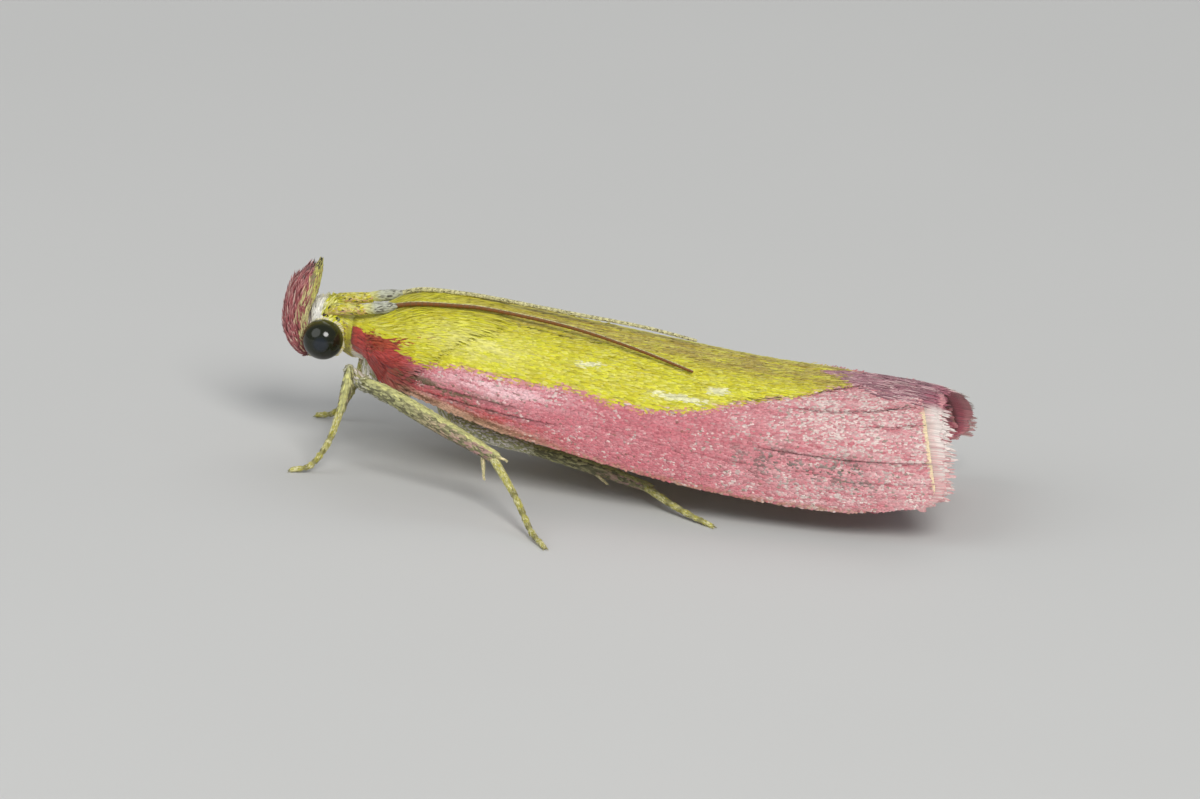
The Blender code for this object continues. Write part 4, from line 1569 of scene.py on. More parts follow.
@dataclass
class Forewing(Sided):
    """Forewing folded on the vault: thin membrane, overlapping scales and fringe."""

    inner_base: float = 48.0
    inner_edge: float = 1.5
    overlap: float = 3.4
    tuck: float = 0.05
    costa: float = 89.5
    apex: float = 84.0
    base_x: float = -4.60
    ridge_x: float = -2.75
    apex_start: float = 4.6
    tornus_x: float = 5.98
    slant: float = 0.80
    corner: float = 0.86
    rounding: float = 0.26
    depth: float = 0.045
    thickness: float = 0.04
    crease_depth: float = 0.035
    fringe_span: float = 3.4
    fringe_step: float = 0.012
    tip_count: int = 230
    ragged_count: int = 620
    tiers: tuple[float, ...] = (0.55, 0.78, 1.0)
    tuft: float = 0.14

    def angles(self, x: Array) -> tuple[Array, Array]:
        """Angles of the inner margin and of the costa at x.

        Args:
            x: places along the body.

        Returns:
            The two angles.
        """
        edge = self.inner_edge - (self.overlap if self.side < 0 else 0.0)
        inner = self.inner_base + (edge - self.inner_base) * ease(x, self.base_x, self.ridge_x)
        outer = self.costa + (self.apex - self.costa) * ease(x, self.apex_start, self.tornus_x + self.slant)
        return inner, outer

    def end(self, share: Array) -> Array:
        """x of the termen at a share of the width."""
        past = np.maximum(share - self.corner, 0.0) / (1.0 - self.corner)
        return self.tornus_x + self.slant * np.minimum(share, self.corner) - self.rounding * past**2

    def place(self, along: Array, share: Array) -> tuple[Array, Array]:
        """x and angle of a place on the membrane.

        Args:
            along: shares from the base to the tip.
            share: shares of the width.

        Returns:
            x and angle.
        """
        x = self.base_x + along * (self.end(share) - self.base_x)
        inner, outer = self.angles(x)
        return x, inner + (outer - inner) * share

    def surface(self, x: Array, angle: Array) -> Array:
        """Upper face of the membrane at x and angle.

        Args:
            x: places along the body.
            angle: angles down from the ridge, in degrees.

        Returns:
            Points as rows.
        """
        sink = self.depth + self.crease_depth * crease_mask(x, angle) + 0.10 * ease(x, -3.9, -4.6)
        sink += (self.tuck if self.side > 0 else 0.0) * ease(angle, 7.0, 2.5)
        return VAULT.point(self.side, x, angle, sink)

    def level(self, x: Array, angle: Array) -> Array:
        """Upper face without its creases, for the longer hairs."""
        return VAULT.point(self.side, x, angle, self.depth)

    def membrane(self) -> Object:
        """Thin creased membrane.

        Returns:
            The object.
        """

        def lay(along: Array, share: Array) -> Array:
            """Upper face at shares of the membrane."""
            return self.surface(*self.place(along, share))

        obj = grid_to_sheet(f"forewing_{self.side_name}_skin", 110, 96, lay)
        x, angle = two_faced(obj, self.side, self.thickness, self.place)
        set_crease(obj, crease_mask(x, angle))
        return obj

    def scales(self, part: WingField) -> Object:
        """Overlapping scales of one field: long and silky on the yellow one, short on the rosy one.

        Args:
            part: field that the scales cover.

        Returns:
            The object.
        """
        yellow = part is WingField.YELLOW
        draw = np.random.default_rng(self.seed(11 if yellow else 13))
        s, t = jittered(draw, *((104, 150) if yellow else (150, 200)))
        x, angle = self.place(s, t)
        edge = np.interp(x, *np.array(YELLOW_EDGE).T)
        past = angle - edge + draw.normal(0.0, 1.6, len(x)) + WORN_ANGLE * ease(x, *WORN_END)
        keep = past < 0.0 if yellow else past >= 0.0
        s, t, x, angle = s[keep], t[keep], x[keep], angle[keep]
        length = (0.22 if yellow else 0.115) * draw.uniform(0.75, 1.2, len(x))
        length = np.minimum(length, np.maximum(self.end(t) + 0.05 - x, 0.06))
        coat = Coat(
            f"forewing_{self.side_name}_{part.value}_scales", BladeForm.TILE, self.surface, x, angle, length,
            0.048, lie_of(x + length * 0.4, angle), np.column_stack([s, t]), seed=21 + int(draw.integers(1000)),
            lift=(6.0 if yellow else 9.0) + (3.5 if yellow else 5.0) * draw.uniform(0, 1, len(x)) ** 2, curl=-0.05,
            yaw=draw.normal(0.0, 6.0, len(x)), outward=self.side,
        )
        obj = coat.build()
        per = len(obj.data.vertices) // len(x)
        set_crease(obj, corner_values(obj, np.repeat(crease_mask(x, angle), per)))
        return obj

    def fringe(self) -> Object:
        """Fringe of long scales in jagged tufts: a short, a middle and a long tier.

        Returns:
            The object.
        """
        draw = np.random.default_rng(self.seed(31))
        span = self.fringe_span
        count = int(span / self.fringe_step)
        share = np.tile(np.linspace(0.0, 1.015, count), 3) + draw.normal(0.0, 0.003, count * 3)
        tier = np.repeat([0, 1, 2], count)
        share = np.clip(share, 0.012, 1.005)
        x = self.end(np.minimum(share, 1.0)) - 0.03 - 0.012 * tier
        inner, outer = self.angles(x)
        angle = inner + (outer - inner) * np.minimum(share, 1.0)
        arc = share * span
        centre = (np.floor(arc / self.tuft) + 0.5) * self.tuft
        off = (arc - centre) / self.tuft
        tuft_rng = np.random.default_rng(5)
        tuft_size = tuft_rng.uniform(0.82, 1.08, 64)[np.floor(arc / self.tuft).astype(int) % 64]
        base = np.interp(share, [0.0, 0.03, 0.18, 0.3, 0.65, 0.9, 1.0], [0.48, 0.66, 0.76, 0.72, 0.64, 0.54, 0.24])
        length = base * np.array(self.tiers)[tier] * (1.0 - 0.45 * np.abs(off) * (tier > 0)) * tuft_size
        length *= draw.uniform(0.9, 1.06, len(share))
        fan = np.interp(share, [0.0, 0.15, 0.85, 1.0], [-5.0, -3.0, 0.0, 12.0])
        yaw = fan - 14.0 * off * tier / 2.0 + draw.normal(0.0, 3.0, len(share))
        coat = Coat(
            f"forewing_{self.side_name}_fringe", BladeForm.PLUME, self.level, x, angle,
            length, np.where(tier == 2, 0.046, 0.066), np.column_stack([share, share]),
            np.column_stack([np.full_like(share, 0.95), np.clip(share, 0, 1)]),
            seed=self.seed(41), thickness=0.012, lift=2.0 - 3.0 * tier, curl=-0.04,
            yaw=yaw * self.side, outward=self.side,
        )
        return coat.build()

    def ragged(self) -> Object:
        """Loose purplish hair-scales along the outer part of the inner margin.

        Returns:
            The object.
        """
        draw = np.random.default_rng(self.seed(43))
        x = draw.uniform(3.9, 6.0, self.ragged_count)
        near = draw.uniform(0.0, 1.0, self.ragged_count) ** 1.3
        angle = self.angles(x)[0] + 20.0 * near * ease(x, 3.6, 5.4)
        length = (0.26 + 0.28 * ease(x, 4.0, 5.8)) * draw.uniform(0.7, 1.15, len(x))
        lie = np.column_stack([0.30 * draw.uniform(0, 1, len(x)) ** 2, np.zeros_like(x)])
        lift = 10.5 - 3.0 * ease(x, 4.8, 5.9) + 5.0 * draw.uniform(0, 1, len(x)) ** 2
        yaw = self.side * 2.0 + draw.normal(0.0, 5.0, len(x))
        coat = Coat(
            f"forewing_{self.side_name}_ragged", BladeForm.HAIR, self.level, x, angle, length, 0.040, lie,
            np.column_stack([(x + 4.6) / 11.4, angle / 90.0]), seed=self.seed(45), lift=lift, curl=-0.20,
            yaw=yaw, outward=self.side,
        )
        return coat.build()

    def lining(self) -> Object:
        """Rosy scales under the fringe and on the inner face of the wing, seen inside the vault.

        Returns:
            The object.
        """
        draw = np.random.default_rng(self.seed(35))
        count = self.tip_count
        edge = np.linspace(0.01, 1.0, count) + draw.normal(0.0, 0.002, count)
        s, t = jittered(draw, 44, 70)
        s, t = np.concatenate([0.08 + 0.91 * s, np.ones(count)]), np.concatenate([t, np.clip(edge, 0.0, 1.0)])
        x, angle = self.place(s, t)
        tip = s >= 1.0
        reach = np.interp(t, [0.0, 0.10, 0.2, 0.3, 0.65, 0.9, 1.0], [0.52, 0.58, 0.46, 0.40, 0.34, 0.28, 0.12])
        if self.side > 0:
            longer = np.interp(t, [0.0, 0.1, 0.3, 0.45, 0.6, 0.75, 0.9], [0.50, 0.54, 0.53, 0.54, 0.52, 0.46, 0.0])
            reach = np.maximum(reach, longer)
        length = np.where(tip, reach, 0.24) * draw.uniform(0.85, 1.05, len(s))
        lift = np.where(tip, 6.0 if self.side > 0 else 1.0, 5.0)

        def inner(x: Array, angle: Array) -> Array:
            """Face just inside the membrane."""
            return VAULT.point(self.side, x, angle, self.depth + self.thickness + 0.005)

        coat = Coat(
            f"forewing_{self.side_name}_lining", BladeForm.PLUME, inner, x, angle, length, np.where(tip, 0.07, 0.08),
            lie_of(s * 2.0, t), np.column_stack([s, t]), seed=self.seed(37), lift=lift, outward=-self.side,
        )
        return coat.build()

    def build(
        self, skin: Material, scales: Material, fringe: Material, lining: Material, ragged: Material
    ) -> None:
        """Build the wing and dress it.

        Args:
            skin: material of the skin.
            scales: material of the scales.
            fringe: material of the fringe.
            lining: material of the lining.
            ragged: material of the loose hairs.
        """
        dress(self.membrane(), skin, "forewing_scales", f"forewing_{self.side_name}")
        for part in WingField:
            dress(self.scales(part), scales, "forewing_scales")
        dress(self.fringe(), fringe, "forewing_scales")
        dress(self.lining(), lining, "forewing_scales")
        dress(self.ragged(), ragged, "forewing_scales")


# Body


@dataclass
class Body:
    """One skin for head, thorax and abdomen, with its hairs and scales."""

    loft: Loft = Loft(
        (
            (-6.60, 0.10, 2.80, 2.50),
            (-6.54, 0.26, 2.96, 2.32),
            (-6.36, 0.42, 3.10, 2.20),
            (-6.10, 0.50, 3.13, 2.20),
            (-5.86, 0.45, 3.02, 2.14),
            (-5.70, 0.50, 2.94, 2.08),
            (-5.55, 0.64, 2.94, 2.08),
            (-5.35, 0.86, 2.98, 2.14),
            (-4.95, 1.14, 3.14, 2.02),
            (-4.40, 1.34, 3.32, 1.92),
            (-3.70, 1.46, 3.42, 1.82),
            (-3.05, 1.28, 3.36, 1.76),
            (-2.70, 0.90, 2.98, 1.78),
            (-2.42, 0.62, 2.58, 1.72),
            (-2.10, 0.68, 2.54, 1.52),
            (-1.20, 0.74, 2.54, 1.38),
            (0.60, 0.74, 2.34, 1.22),
            (2.60, 0.64, 2.08, 1.10),
            (4.00, 0.44, 1.86, 1.14),
            (4.60, 0.28, 1.72, 1.24),
            (4.85, 0.12, 1.62, 1.34),
        ),
        first_edge=FIRST_SEGMENT,
        segment=SEGMENT_LENGTH,
    )
    rings: int = 110
    sides: int = 56

    def skin(self) -> Object:
        """Closed skin from the face to the end of the abdomen.

        Returns:
            The object.
        """
        start, end = self.loft.stations[0][0], self.loft.stations[-1][0]
        places = np.linspace(start, end, self.rings)
        body = rings_to_body("body_skin", domed(rings_of(self.loft.surface(), places, self.sides)))
        ring_map(body, np.concatenate([[start], places, [end]]), self.sides)
        return body

    def lay(
        self, name: str, form: BladeForm, x: Array, turn: Array, length: Array, width: Array, **rest: object
    ) -> Object:
        """Coat laid on the skin at x and turn.

        Args:
            name: name of the new object.
            form: outline of one blade.
            x: places along the body.
            turn: turns in degrees.
            length: lengths of the blades.
            width: widths of the blades.
            rest: other fields of the coat.

        Returns:
            The object.
        """
        bake = np.column_stack([(x + 6.7) / 11.7, np.mod(turn, 360.0) / 360.0])
        coat = Coat(
            name, form, self.loft.surface(), x, turn, length, width, lie_of(x, fold(turn)), bake, outward=-1.0,
            step=(0.02, 1.0), **rest,
        )
        return coat.build()

    def head(self) -> Object:
        """Scales of the head: a raised tuft on the brow, smooth scales on cheeks and nape.

        Returns:
            The object.
        """
        draw = np.random.default_rng(51)
        s, t = jittered(draw, 54, 58)
        x, turn = -6.60 + 1.0 * s**1.8, 360.0 * t
        place = self.loft.surface()(x, turn)
        up = fold(turn)
        brow = ease(up, 80.0, 45.0) * ease(x, -5.95, -6.15)
        ahead = np.column_stack([0.25 + ease(x, -6.3, -6.05) * 0.5, np.sign(place[:, 1]) * 0.05, 0.25 + 0.9 * brow])
        ahead[:, 2] -= 0.75 * ease(up, 100.0, 150.0)
        front = ease(x, -6.50, -6.57)
        ahead = ahead * (1.0 - front)[:, None] + front[:, None] * [-0.3, 0.0, -1.0]
        length = 0.12 + 0.08 * brow * draw.uniform(0.6, 1.2, len(x))
        length += front * (0.02 + 0.18 * ease(up, 110.0, 40.0)) * draw.uniform(0.0, 1.0, len(x))
        lift = 10.0 + 36.0 * brow * draw.uniform(0.4, 1.0, len(x)) * (1.0 - front)
        yaw = draw.normal(0.0, 10.0, len(x))
        return self.lay(
            "head_coat", BladeForm.PLUME, x, turn, length, 0.042, seed=52, ahead=ahead, lift=lift, yaw=yaw, curl=-0.25
        )

    def collar(self) -> Object:
        """Longer scales of the collar behind the head.

        Returns:
            The object.
        """
        draw = np.random.default_rng(53)
        s, t = jittered(draw, 110, 32)
        x, turn = -5.98 + 0.72 * s, 360.0 * t
        length = (0.16 + 0.06 * draw.uniform(0, 1, len(x))) * (1.0 - 0.25 * ease(fold(turn), 70.0, 150.0))
        yaw = draw.normal(0.0, 8.0, len(x))
        return self.lay("collar_coat", BladeForm.HAIR, x, turn, length, 0.05, seed=54, lift=8.0, yaw=yaw)

    def thorax(self) -> Object:
        """Hairs of the sides and underside of the thorax.

        Returns:
            The object.
        """
        draw = np.random.default_rng(55)
        s, t = jittered(draw, 84, 48)
        x, turn = -5.62 + 3.1 * s, 66.0 + 228.0 * t
        length = 0.30 + 0.14 * draw.uniform(0, 1, len(x))
        yaw = draw.normal(0.0, 9.0, len(x))
        return self.lay("thorax_coat", BladeForm.HAIR, x, turn, length, 0.05, seed=56, lift=7.0, yaw=yaw)

    def abdomen(self) -> Object:
        """Overlapping scales of the abdomen, and the tuft at its end.

        Returns:
            The object.
        """
        draw = np.random.default_rng(57)
        s, t = jittered(draw, 56, 96)
        x, turn = -2.3 + 7.08 * s, 360.0 * t
        end = ease(x, 3.9, 4.7)
        length = 0.15 + 0.22 * end * draw.uniform(0.7, 1.1, len(x))
        width = 0.075 - 0.03 * end
        yaw = draw.normal(0.0, 8.0, len(x))
        return self.lay("abdomen_coat", BladeForm.TILE, x, turn, length, width, seed=58, lift=6.0, yaw=yaw)

    def build(self, skin: Material, scales: Material) -> None:
        """Build the body and dress it.

        Args:
            skin: material of the skin.
            scales: material of the scales.
        """
        dress(self.skin(), skin, "yellow_coat", "head", "thorax", "abdomen")
        dress(self.head(), scales, "yellow_coat")
        dress(self.collar(), scales, "yellow_coat")
        dress(self.thorax(), scales, "yellow_coat")
        dress(self.abdomen(), scales, "abdomen_scales")


@dataclass
class Tegula(Sided):
    """Shoulder flap over the base of the wing and the middle of the back, under long silky scales."""

    inset: tuple[tuple[float, float], ...] = (
        (-5.90, 0.50), (-5.40, 0.30), (-4.95, 0.17), (-4.40, 0.07),
        (-3.90, 0.02), (-3.20, 0.01), (-2.60, 0.04), (-1.0, 0.05),
    )
    lower: tuple[tuple[float, float], ...] = (
        (-5.75, 88.0), (-5.4, 100.0), (-4.8, 98.0), (-4.5, 88.0),
        (-4.15, 72.0), (-3.6, 50.0), (-2.9, 28.0), (-2.35, 15.0),
    )
    start: float = -5.64
    end: float = -2.45
    flap_end: float = -3.1
    thickness: float = 0.05

    def surface(self, x: Array, angle: Array) -> Array:
        """Upper face at x and angle; a shallow furrow parts the flap from the middle of the back.

        Args:
            x: places along the body.
            angle: angles down from the ridge, in degrees.

        Returns:
            Points as rows.
        """
        depth = read_table(smooth_table(self.inset), x)[0] + 0.03 * bump(angle, 15.0, 3.5) * ease(x, -2.9, -3.6)
        depth += 0.30 * ease(angle, 62.0, 98.0) * ease(x, -4.4, -5.0)
        depth += 0.05 * ease(np.interp(x, *np.array(self.lower).T) - angle, 12.0, 1.0) * ease(x, -4.9, -4.3)
        share = ease(x, -5.62, -4.95)[:, None]
        neck = Body().loft.surface(0.02)(x, -self.side * angle)
        return neck * (1.0 - share) + VAULT.point(self.side, x, angle, depth) * share

    def place(self, s: Array, t: Array) -> tuple[Array, Array]:
        """x and angle of a place on the flap."""
        x = self.start + s * (self.end - self.start)
        return x, -1.0 + t * (np.interp(x, *np.array(self.lower).T) + 1.0)

    def flap(self) -> Object:
        """Thin curved flap.

        Returns:
            The object.
        """
        share = (self.flap_end - self.start) / (self.end - self.start)

        def shorter(s: Array, t: Array) -> tuple[Array, Array]:
            """x and angle of a place on the flap, which ends before its scales do."""
            return self.place(s * share, t * 0.97)

        def lay(s: Array, t: Array) -> Array:
            """Face of the flap just under its scales."""
            return self.sunk(*shorter(s, t), 0.005 + 0.10 * ease(s, 0.5, 1.0))

        obj = grid_to_sheet(f"tegula_{self.side_name}", 60, 48, lay)
        two_faced(obj, self.side, self.thickness, shorter)
        return obj

    def sunk(self, x: Array, angle: Array, depth: Array) -> Array:
        """Upper face moved inwards by depth, towards the middle of the body.

        Args:
            x: places along the body.
            angle: angles down from the ridge, in degrees.
            depth: distances inwards.

        Returns:
            Points as rows.
        """
        middle = np.column_stack([x, np.zeros_like(x), np.full_like(x, 2.4)])
        face = self.surface(x, angle)
        return face - unit(face - middle) * np.asarray(depth)[:, None]

    def scales(self) -> Object:
        """Long silky scales that flow back over the wing.

        Returns:
            The object.
        """
        draw = np.random.default_rng(self.seed(61))
        s, t = jittered(draw, 68, 100)
        x, angle = self.place(s, t)
        near = np.minimum(1.0 - t + 0.4 * ease(x, -4.4, -4.9), (self.end - x) * 0.35)
        keep = near > 0.10 * draw.uniform(0, 1, len(x)) ** 1.5
        s, t, x, angle = s[keep], t[keep], x[keep], angle[keep]
        back = ease(x, -4.0, -3.0)
        length = 0.32 + 0.16 * draw.uniform(0, 1, len(x)) + 0.42 * back * draw.uniform(0, 1, len(x))
        length *= 1.0 - 0.3 * ease(x, -5.1, -5.6)
        low = ease(angle, 40.0, 80.0)
        yaw = -self.side * (8.0 * low - 4.0) + draw.normal(0.0, 4.5, len(x))
        lift = 6.0 - 2.0 * back + (4.0 - 2.0 * back) * draw.uniform(0, 1, len(x)) ** 2
        coat = Coat(
            f"tegula_{self.side_name}_coat", BladeForm.HAIR, self.surface, x, angle, length, 0.058 - 0.010 * back,
            lie_of(x + 0.2, angle), np.column_stack([s, t]), seed=self.seed(63), thickness=0.009, lift=lift,
            curl=-0.06 - 0.022 * back, yaw=yaw, outward=self.side,
        )
        return coat.build()

    def build(self, skin: Material, scales: Material) -> None:
        """Build the flap and dress it."""
        dress(self.flap(), skin, "yellow_coat")
        dress(self.scales(), scales, "yellow_coat")


@dataclass
class Hindwing(Sided):
    """Hindwing folded under the forewing: thin pleated membrane, scales and a short fringe."""

    start: float = -2.38
    end: float = 5.20
    upper: float = 54.0
    lower: float = 87.0
    depth: float = 0.30
    pleats: float = 0.03
    pleat_turns: float = 60.0
    thickness: float = 0.04

    def place(self, s: Array, t: Array) -> tuple[Array, Array]:
        """x and angle of a place on the membrane; the tip is rounded.

        Args:
            s: shares along.
            t: shares from the upper to the lower edge.

        Returns:
            x and angle.
        """
        spread = 1.0 - 0.75 * np.abs(2.0 * t - 0.9) ** 2.4 * 0.22
        x = self.start + s * (self.end - self.start) * spread
        low = self.upper + 8.0 + (self.lower - self.upper - 8.0) * ease(x, self.start - 0.3, self.start + 1.6)
        return x, self.upper + t * (low - self.upper)

    def surface(self, x: Array, angle: Array, deeper: float = 0.0) -> Array:
        """Face waved by its pleats: the outer one, or one that lies deeper.

        Args:
            x: places along the body.
            angle: angles down from the ridge, in degrees.
            deeper: distance inwards from the outer face.

        Returns:
            Points as rows.
        """
        fade = ease(x, self.start, self.start + 2.0)
        wave = self.pleats * np.sin(np.radians((angle - self.upper) * self.pleat_turns)) * fade
        return VAULT.point(self.side, x, angle, self.depth + deeper + wave)

    def membrane(self) -> Object:
        """Thin pleated membrane.

        Returns:
            The object.
        """
        obj = grid_to_sheet(f"hindwing_{self.side_name}_skin", 90, 48, lambda s, t: self.surface(*self.place(s, t)))
        two_faced(obj, self.side, self.thickness, self.place)
        return obj

    def scales(self) -> Object:
        """Fine scales, with longer ones as the fringe.

        Returns:
            The object.
        """
        draw = np.random.default_rng(self.seed(71))
        s, t = jittered(draw, 24, 96)
        tip = np.linspace(0.02, 0.98, 130)
        s, t = np.concatenate([s, np.full(len(tip), 0.99)]), np.concatenate([t, tip])
        x, angle = self.place(s, t)
        length = np.where(s >= 0.99, 0.24, 0.12)

        def inner(x: Array, angle: Array) -> Array:
            """Inner face."""
            return self.surface(x, angle, self.thickness)

        pieces = []
        for name, face, outward in (("outer", self.surface, self.side), ("inner", inner, -self.side)):
            coat = Coat(
                name, BladeForm.TILE, face, x, angle, length, 0.06, lie_of(x, angle), np.column_stack([s, t]),
                seed=self.seed(73), lift=5.0, yaw=draw.normal(0.0, 6.0, len(x)), outward=outward,
            )
            pieces.append(coat.build())
        return joined(f"hindwing_{self.side_name}_scales", pieces)

    def build(self, skin: Material, scales: Material) -> None:
        """Build the hindwing and dress it."""
        dress(self.membrane(), skin, "hindwing_scales", f"hindwing_{self.side_name}")
        dress(self.scales(), scales, "hindwing_scales")


# Head


@dataclass
class Eye(Sided):
    """Compound eye with its rim of scales, ocellus and antenna socket."""

    centre: Point = (-6.22, 0.49, 2.48)
    radius: float = 0.422
    flat: float = 0.94

    def ball(self, name: str, fineness: int, middle: Point, half: Point, ripple: float = 0.0) -> Object:
        """Ball set into the head.

        Args:
            name: start of its name.
            fineness: number of subdivisions.
            middle: its centre, with y outwards.
            half: its half lengths.
            ripple: height of a ripple round it, as a share of its size.

        Returns:
            The object.
        """
        bpy.ops.mesh.primitive_ico_sphere_add(subdivisions=fineness, radius=MM)
        ball = bpy.context.object
        ball.name = f"{name}_{self.side_name}"
        shift = Vector((middle[0], self.side * middle[1], middle[2])) * MM
        with edit(ball) as mesh:
            for vert in mesh.verts:
                swell = 1.0 + ripple * math.sin(5.0 * math.atan2(vert.co.z, vert.co.x))
                vert.co = Vector(value * size * swell for value, size in zip(vert.co, half)) + shift
        return ball

    def rim_surface(self, turn: Array, out: Array) -> Array:
        """Cone round the eye: turn in degrees from its front over its top, distance out from the eye's edge.

        Args:
            turn: turns in degrees.
            out: distances out from the eye's edge.

        Returns:
            Points as rows.
        """
        bend = np.radians(turn)
        reach = self.radius * 0.965 + out
        x = self.centre[0] - reach * np.cos(bend)
        z = self.centre[2] + reach * np.sin(bend)
        y = self.side * (self.centre[1] - 0.02 - 0.75 * out)
        return np.column_stack(np.broadcast_arrays(x, y, z))

    def rim(self) -> Object:
        """Ring of small scales that hides the seat of the eye.

        Returns:
            The object.
        """
        draw = np.random.default_rng(self.seed(81))
        turn, out = np.meshgrid(np.arange(64.0, 232.0, 1.8), np.array([-0.012, 0.012]), indexing="ij")
        turn = turn.ravel() + draw.uniform(-2.0, 2.0, turn.size)
        out = out.ravel() + draw.uniform(-0.006, 0.006, turn.size)
        behind = ease(-np.cos(np.radians(turn)), -0.2, 0.7)
        place = self.rim_surface(turn, out)
        bend = np.radians(turn)
        ahead = np.column_stack([-np.cos(bend) + 0.8, np.zeros_like(bend), np.sin(bend) * 0.8 + 0.15])
        coat = Coat(
            f"eye_{self.side_name}_rim", BladeForm.PLUME, self.rim_surface, turn, out, 0.055 + 0.02 * behind, 0.022,
            lie_of(place[:, 0], np.full(len(turn), 60.0)), np.column_stack([turn / 360.0, out]),
            seed=self.seed(83), lift=12.0, outward=-self.side, step=(1.0, 0.01), ahead=ahead,
            thickness=0.008, curl=-0.1,
        )
        return coat.build()

    def build(self, eye: Material, rim: Material, horn: Material, bulb: Material) -> None:
        """Build the eye and dress it.

        Args:
            eye: material of the ball and the ocellus.
            rim: material of the rim.
            horn: material of the socket.
            bulb: material of the swelling.
        """
        half = (self.radius, self.radius * self.flat, self.radius)
        dress(self.ball("eyeball", 5, self.centre, half), eye, "eye", f"eye_{self.side_name}")
        dress(self.ball("ocellus", 3, (-5.985, 0.40, 2.925), (0.034, 0.034, 0.034)), eye, "eye")
        dress(self.ball("bulb", 4, (-5.985, 0.365, 2.89), (0.075, 0.06, 0.065), 0.04), bulb, "yellow_coat")
        dress(self.ball("socket", 4, (-6.175, 0.36, 2.955), (0.115, 0.07, 0.08), 0.04), horn, "antenna")
        dress(self.rim(), rim, "yellow_coat")


@dataclass
class Palp(Sided):
    """Upturned labial palp: a crest of rosy hair-scales and a slim smooth last joint."""

    crest: Path = (
        (-6.32, 0.17, 2.20, 0.08),
        (-6.50, 0.22, 2.11, 0.12),
        (-6.67, 0.25, 2.22, 0.17),
        (-6.79, 0.26, 2.48, 0.22),
        (-6.84, 0.25, 2.84, 0.245),
        (-6.80, 0.23, 3.20, 0.245),
        (-6.70, 0.21, 3.50, 0.18),
        (-6.64, 0.20, 3.66, 0.07),
    )
    tip: Path = (
        (-6.70, 0.21, 2.90, 0.07),
        (-6.60, 0.20, 3.25, 0.11),
        (-6.52, 0.17, 3.66, 0.10),
        (-6.46, 0.15, 3.92, 0.045),
    )

    def build(self, skin: Material, crest: Material, tip: Material) -> None:
        """Build the palp and dress it.

        Args:
            skin: material of the skin.
            crest: material of the crest.
            tip: material of the last joint.
        """
        side = self.side
        draw = np.random.default_rng(self.seed(91))
        lower = Tube(self.crest, side, 0.56, guide=FORWARD)
        upper = Tube(self.tip, side, 0.8, guide=FORWARD)
        name = f"palp_{self.side_name}"
        body = joined(f"{name}_skin", [tube_body("lower", lower, 24, 20), tube_body("upper", upper, 20, 16, 1.0)])
        dress(body, skin, "pink_tuft", name)
        s, t = jittered(draw, 44, 40)
        s, turn = 0.02 + 0.93 * s, 360.0 * t
        back = ease(fold(turn), 90.0, 150.0)
        row = np.floor(s * 9.0).astype(int)
        column = turn / 30.0 + 0.5 * (row % 2)
        off = column - np.floor(column) - 0.5
        tuft = np.random.default_rng(97).uniform(-1.0, 1.0, 256)[(row * 13 + np.floor(column).astype(int)) % 256]
        length = (0.10 + 0.14 * ease(s, 0.1, 0.4) + 0.14 * ease(s, 0.3, 0.8)) * draw.uniform(0.75, 1.15, len(s))
        length *= 1.0 + 0.14 * tuft
        lift = 5.0 + 7.0 * ease(s, 0.1, 0.4) * draw.uniform(0, 1, len(s)) ** 2 + 8.0 * back * ease(s, 0.3, 0.7)
        lift += (2.5 + 2.5 * tuft) * ease(s, 0.1, 0.4)
        hairs = Coat(
            f"{name}_crest", BladeForm.HAIR, lower.surface(), s, turn, length, 0.036, lie_of(s, fold(turn)),
            np.column_stack([s, t]), seed=self.seed(93), outward=-1.0, step=(0.004, 1.0), lift=lift,
            curl=-0.12 - 0.2 * back, yaw=22.0 * off + draw.normal(0.0, 5.0, len(s)), thickness=0.009,
        )
        dress(hairs.build(), crest, "pink_tuft")
        s, t = jittered(draw, 24, 34)
        s, turn = 0.03 + 0.93 * s, 360.0 * t
        scales = Coat(
            f"{name}_tip", BladeForm.HAIR, upper.surface(), s, turn, 0.15 * draw.uniform(0.8, 1.2, len(s)), 0.034,
            lie_of(s, fold(turn)), np.column_stack([s, t]), seed=self.seed(95), outward=-1.0,
            step=(0.004, 1.0), lift=6.0, yaw=draw.normal(0.0, 6.0, len(s)),
        )
        dress(scales.build(), tip, "pink_tuft")


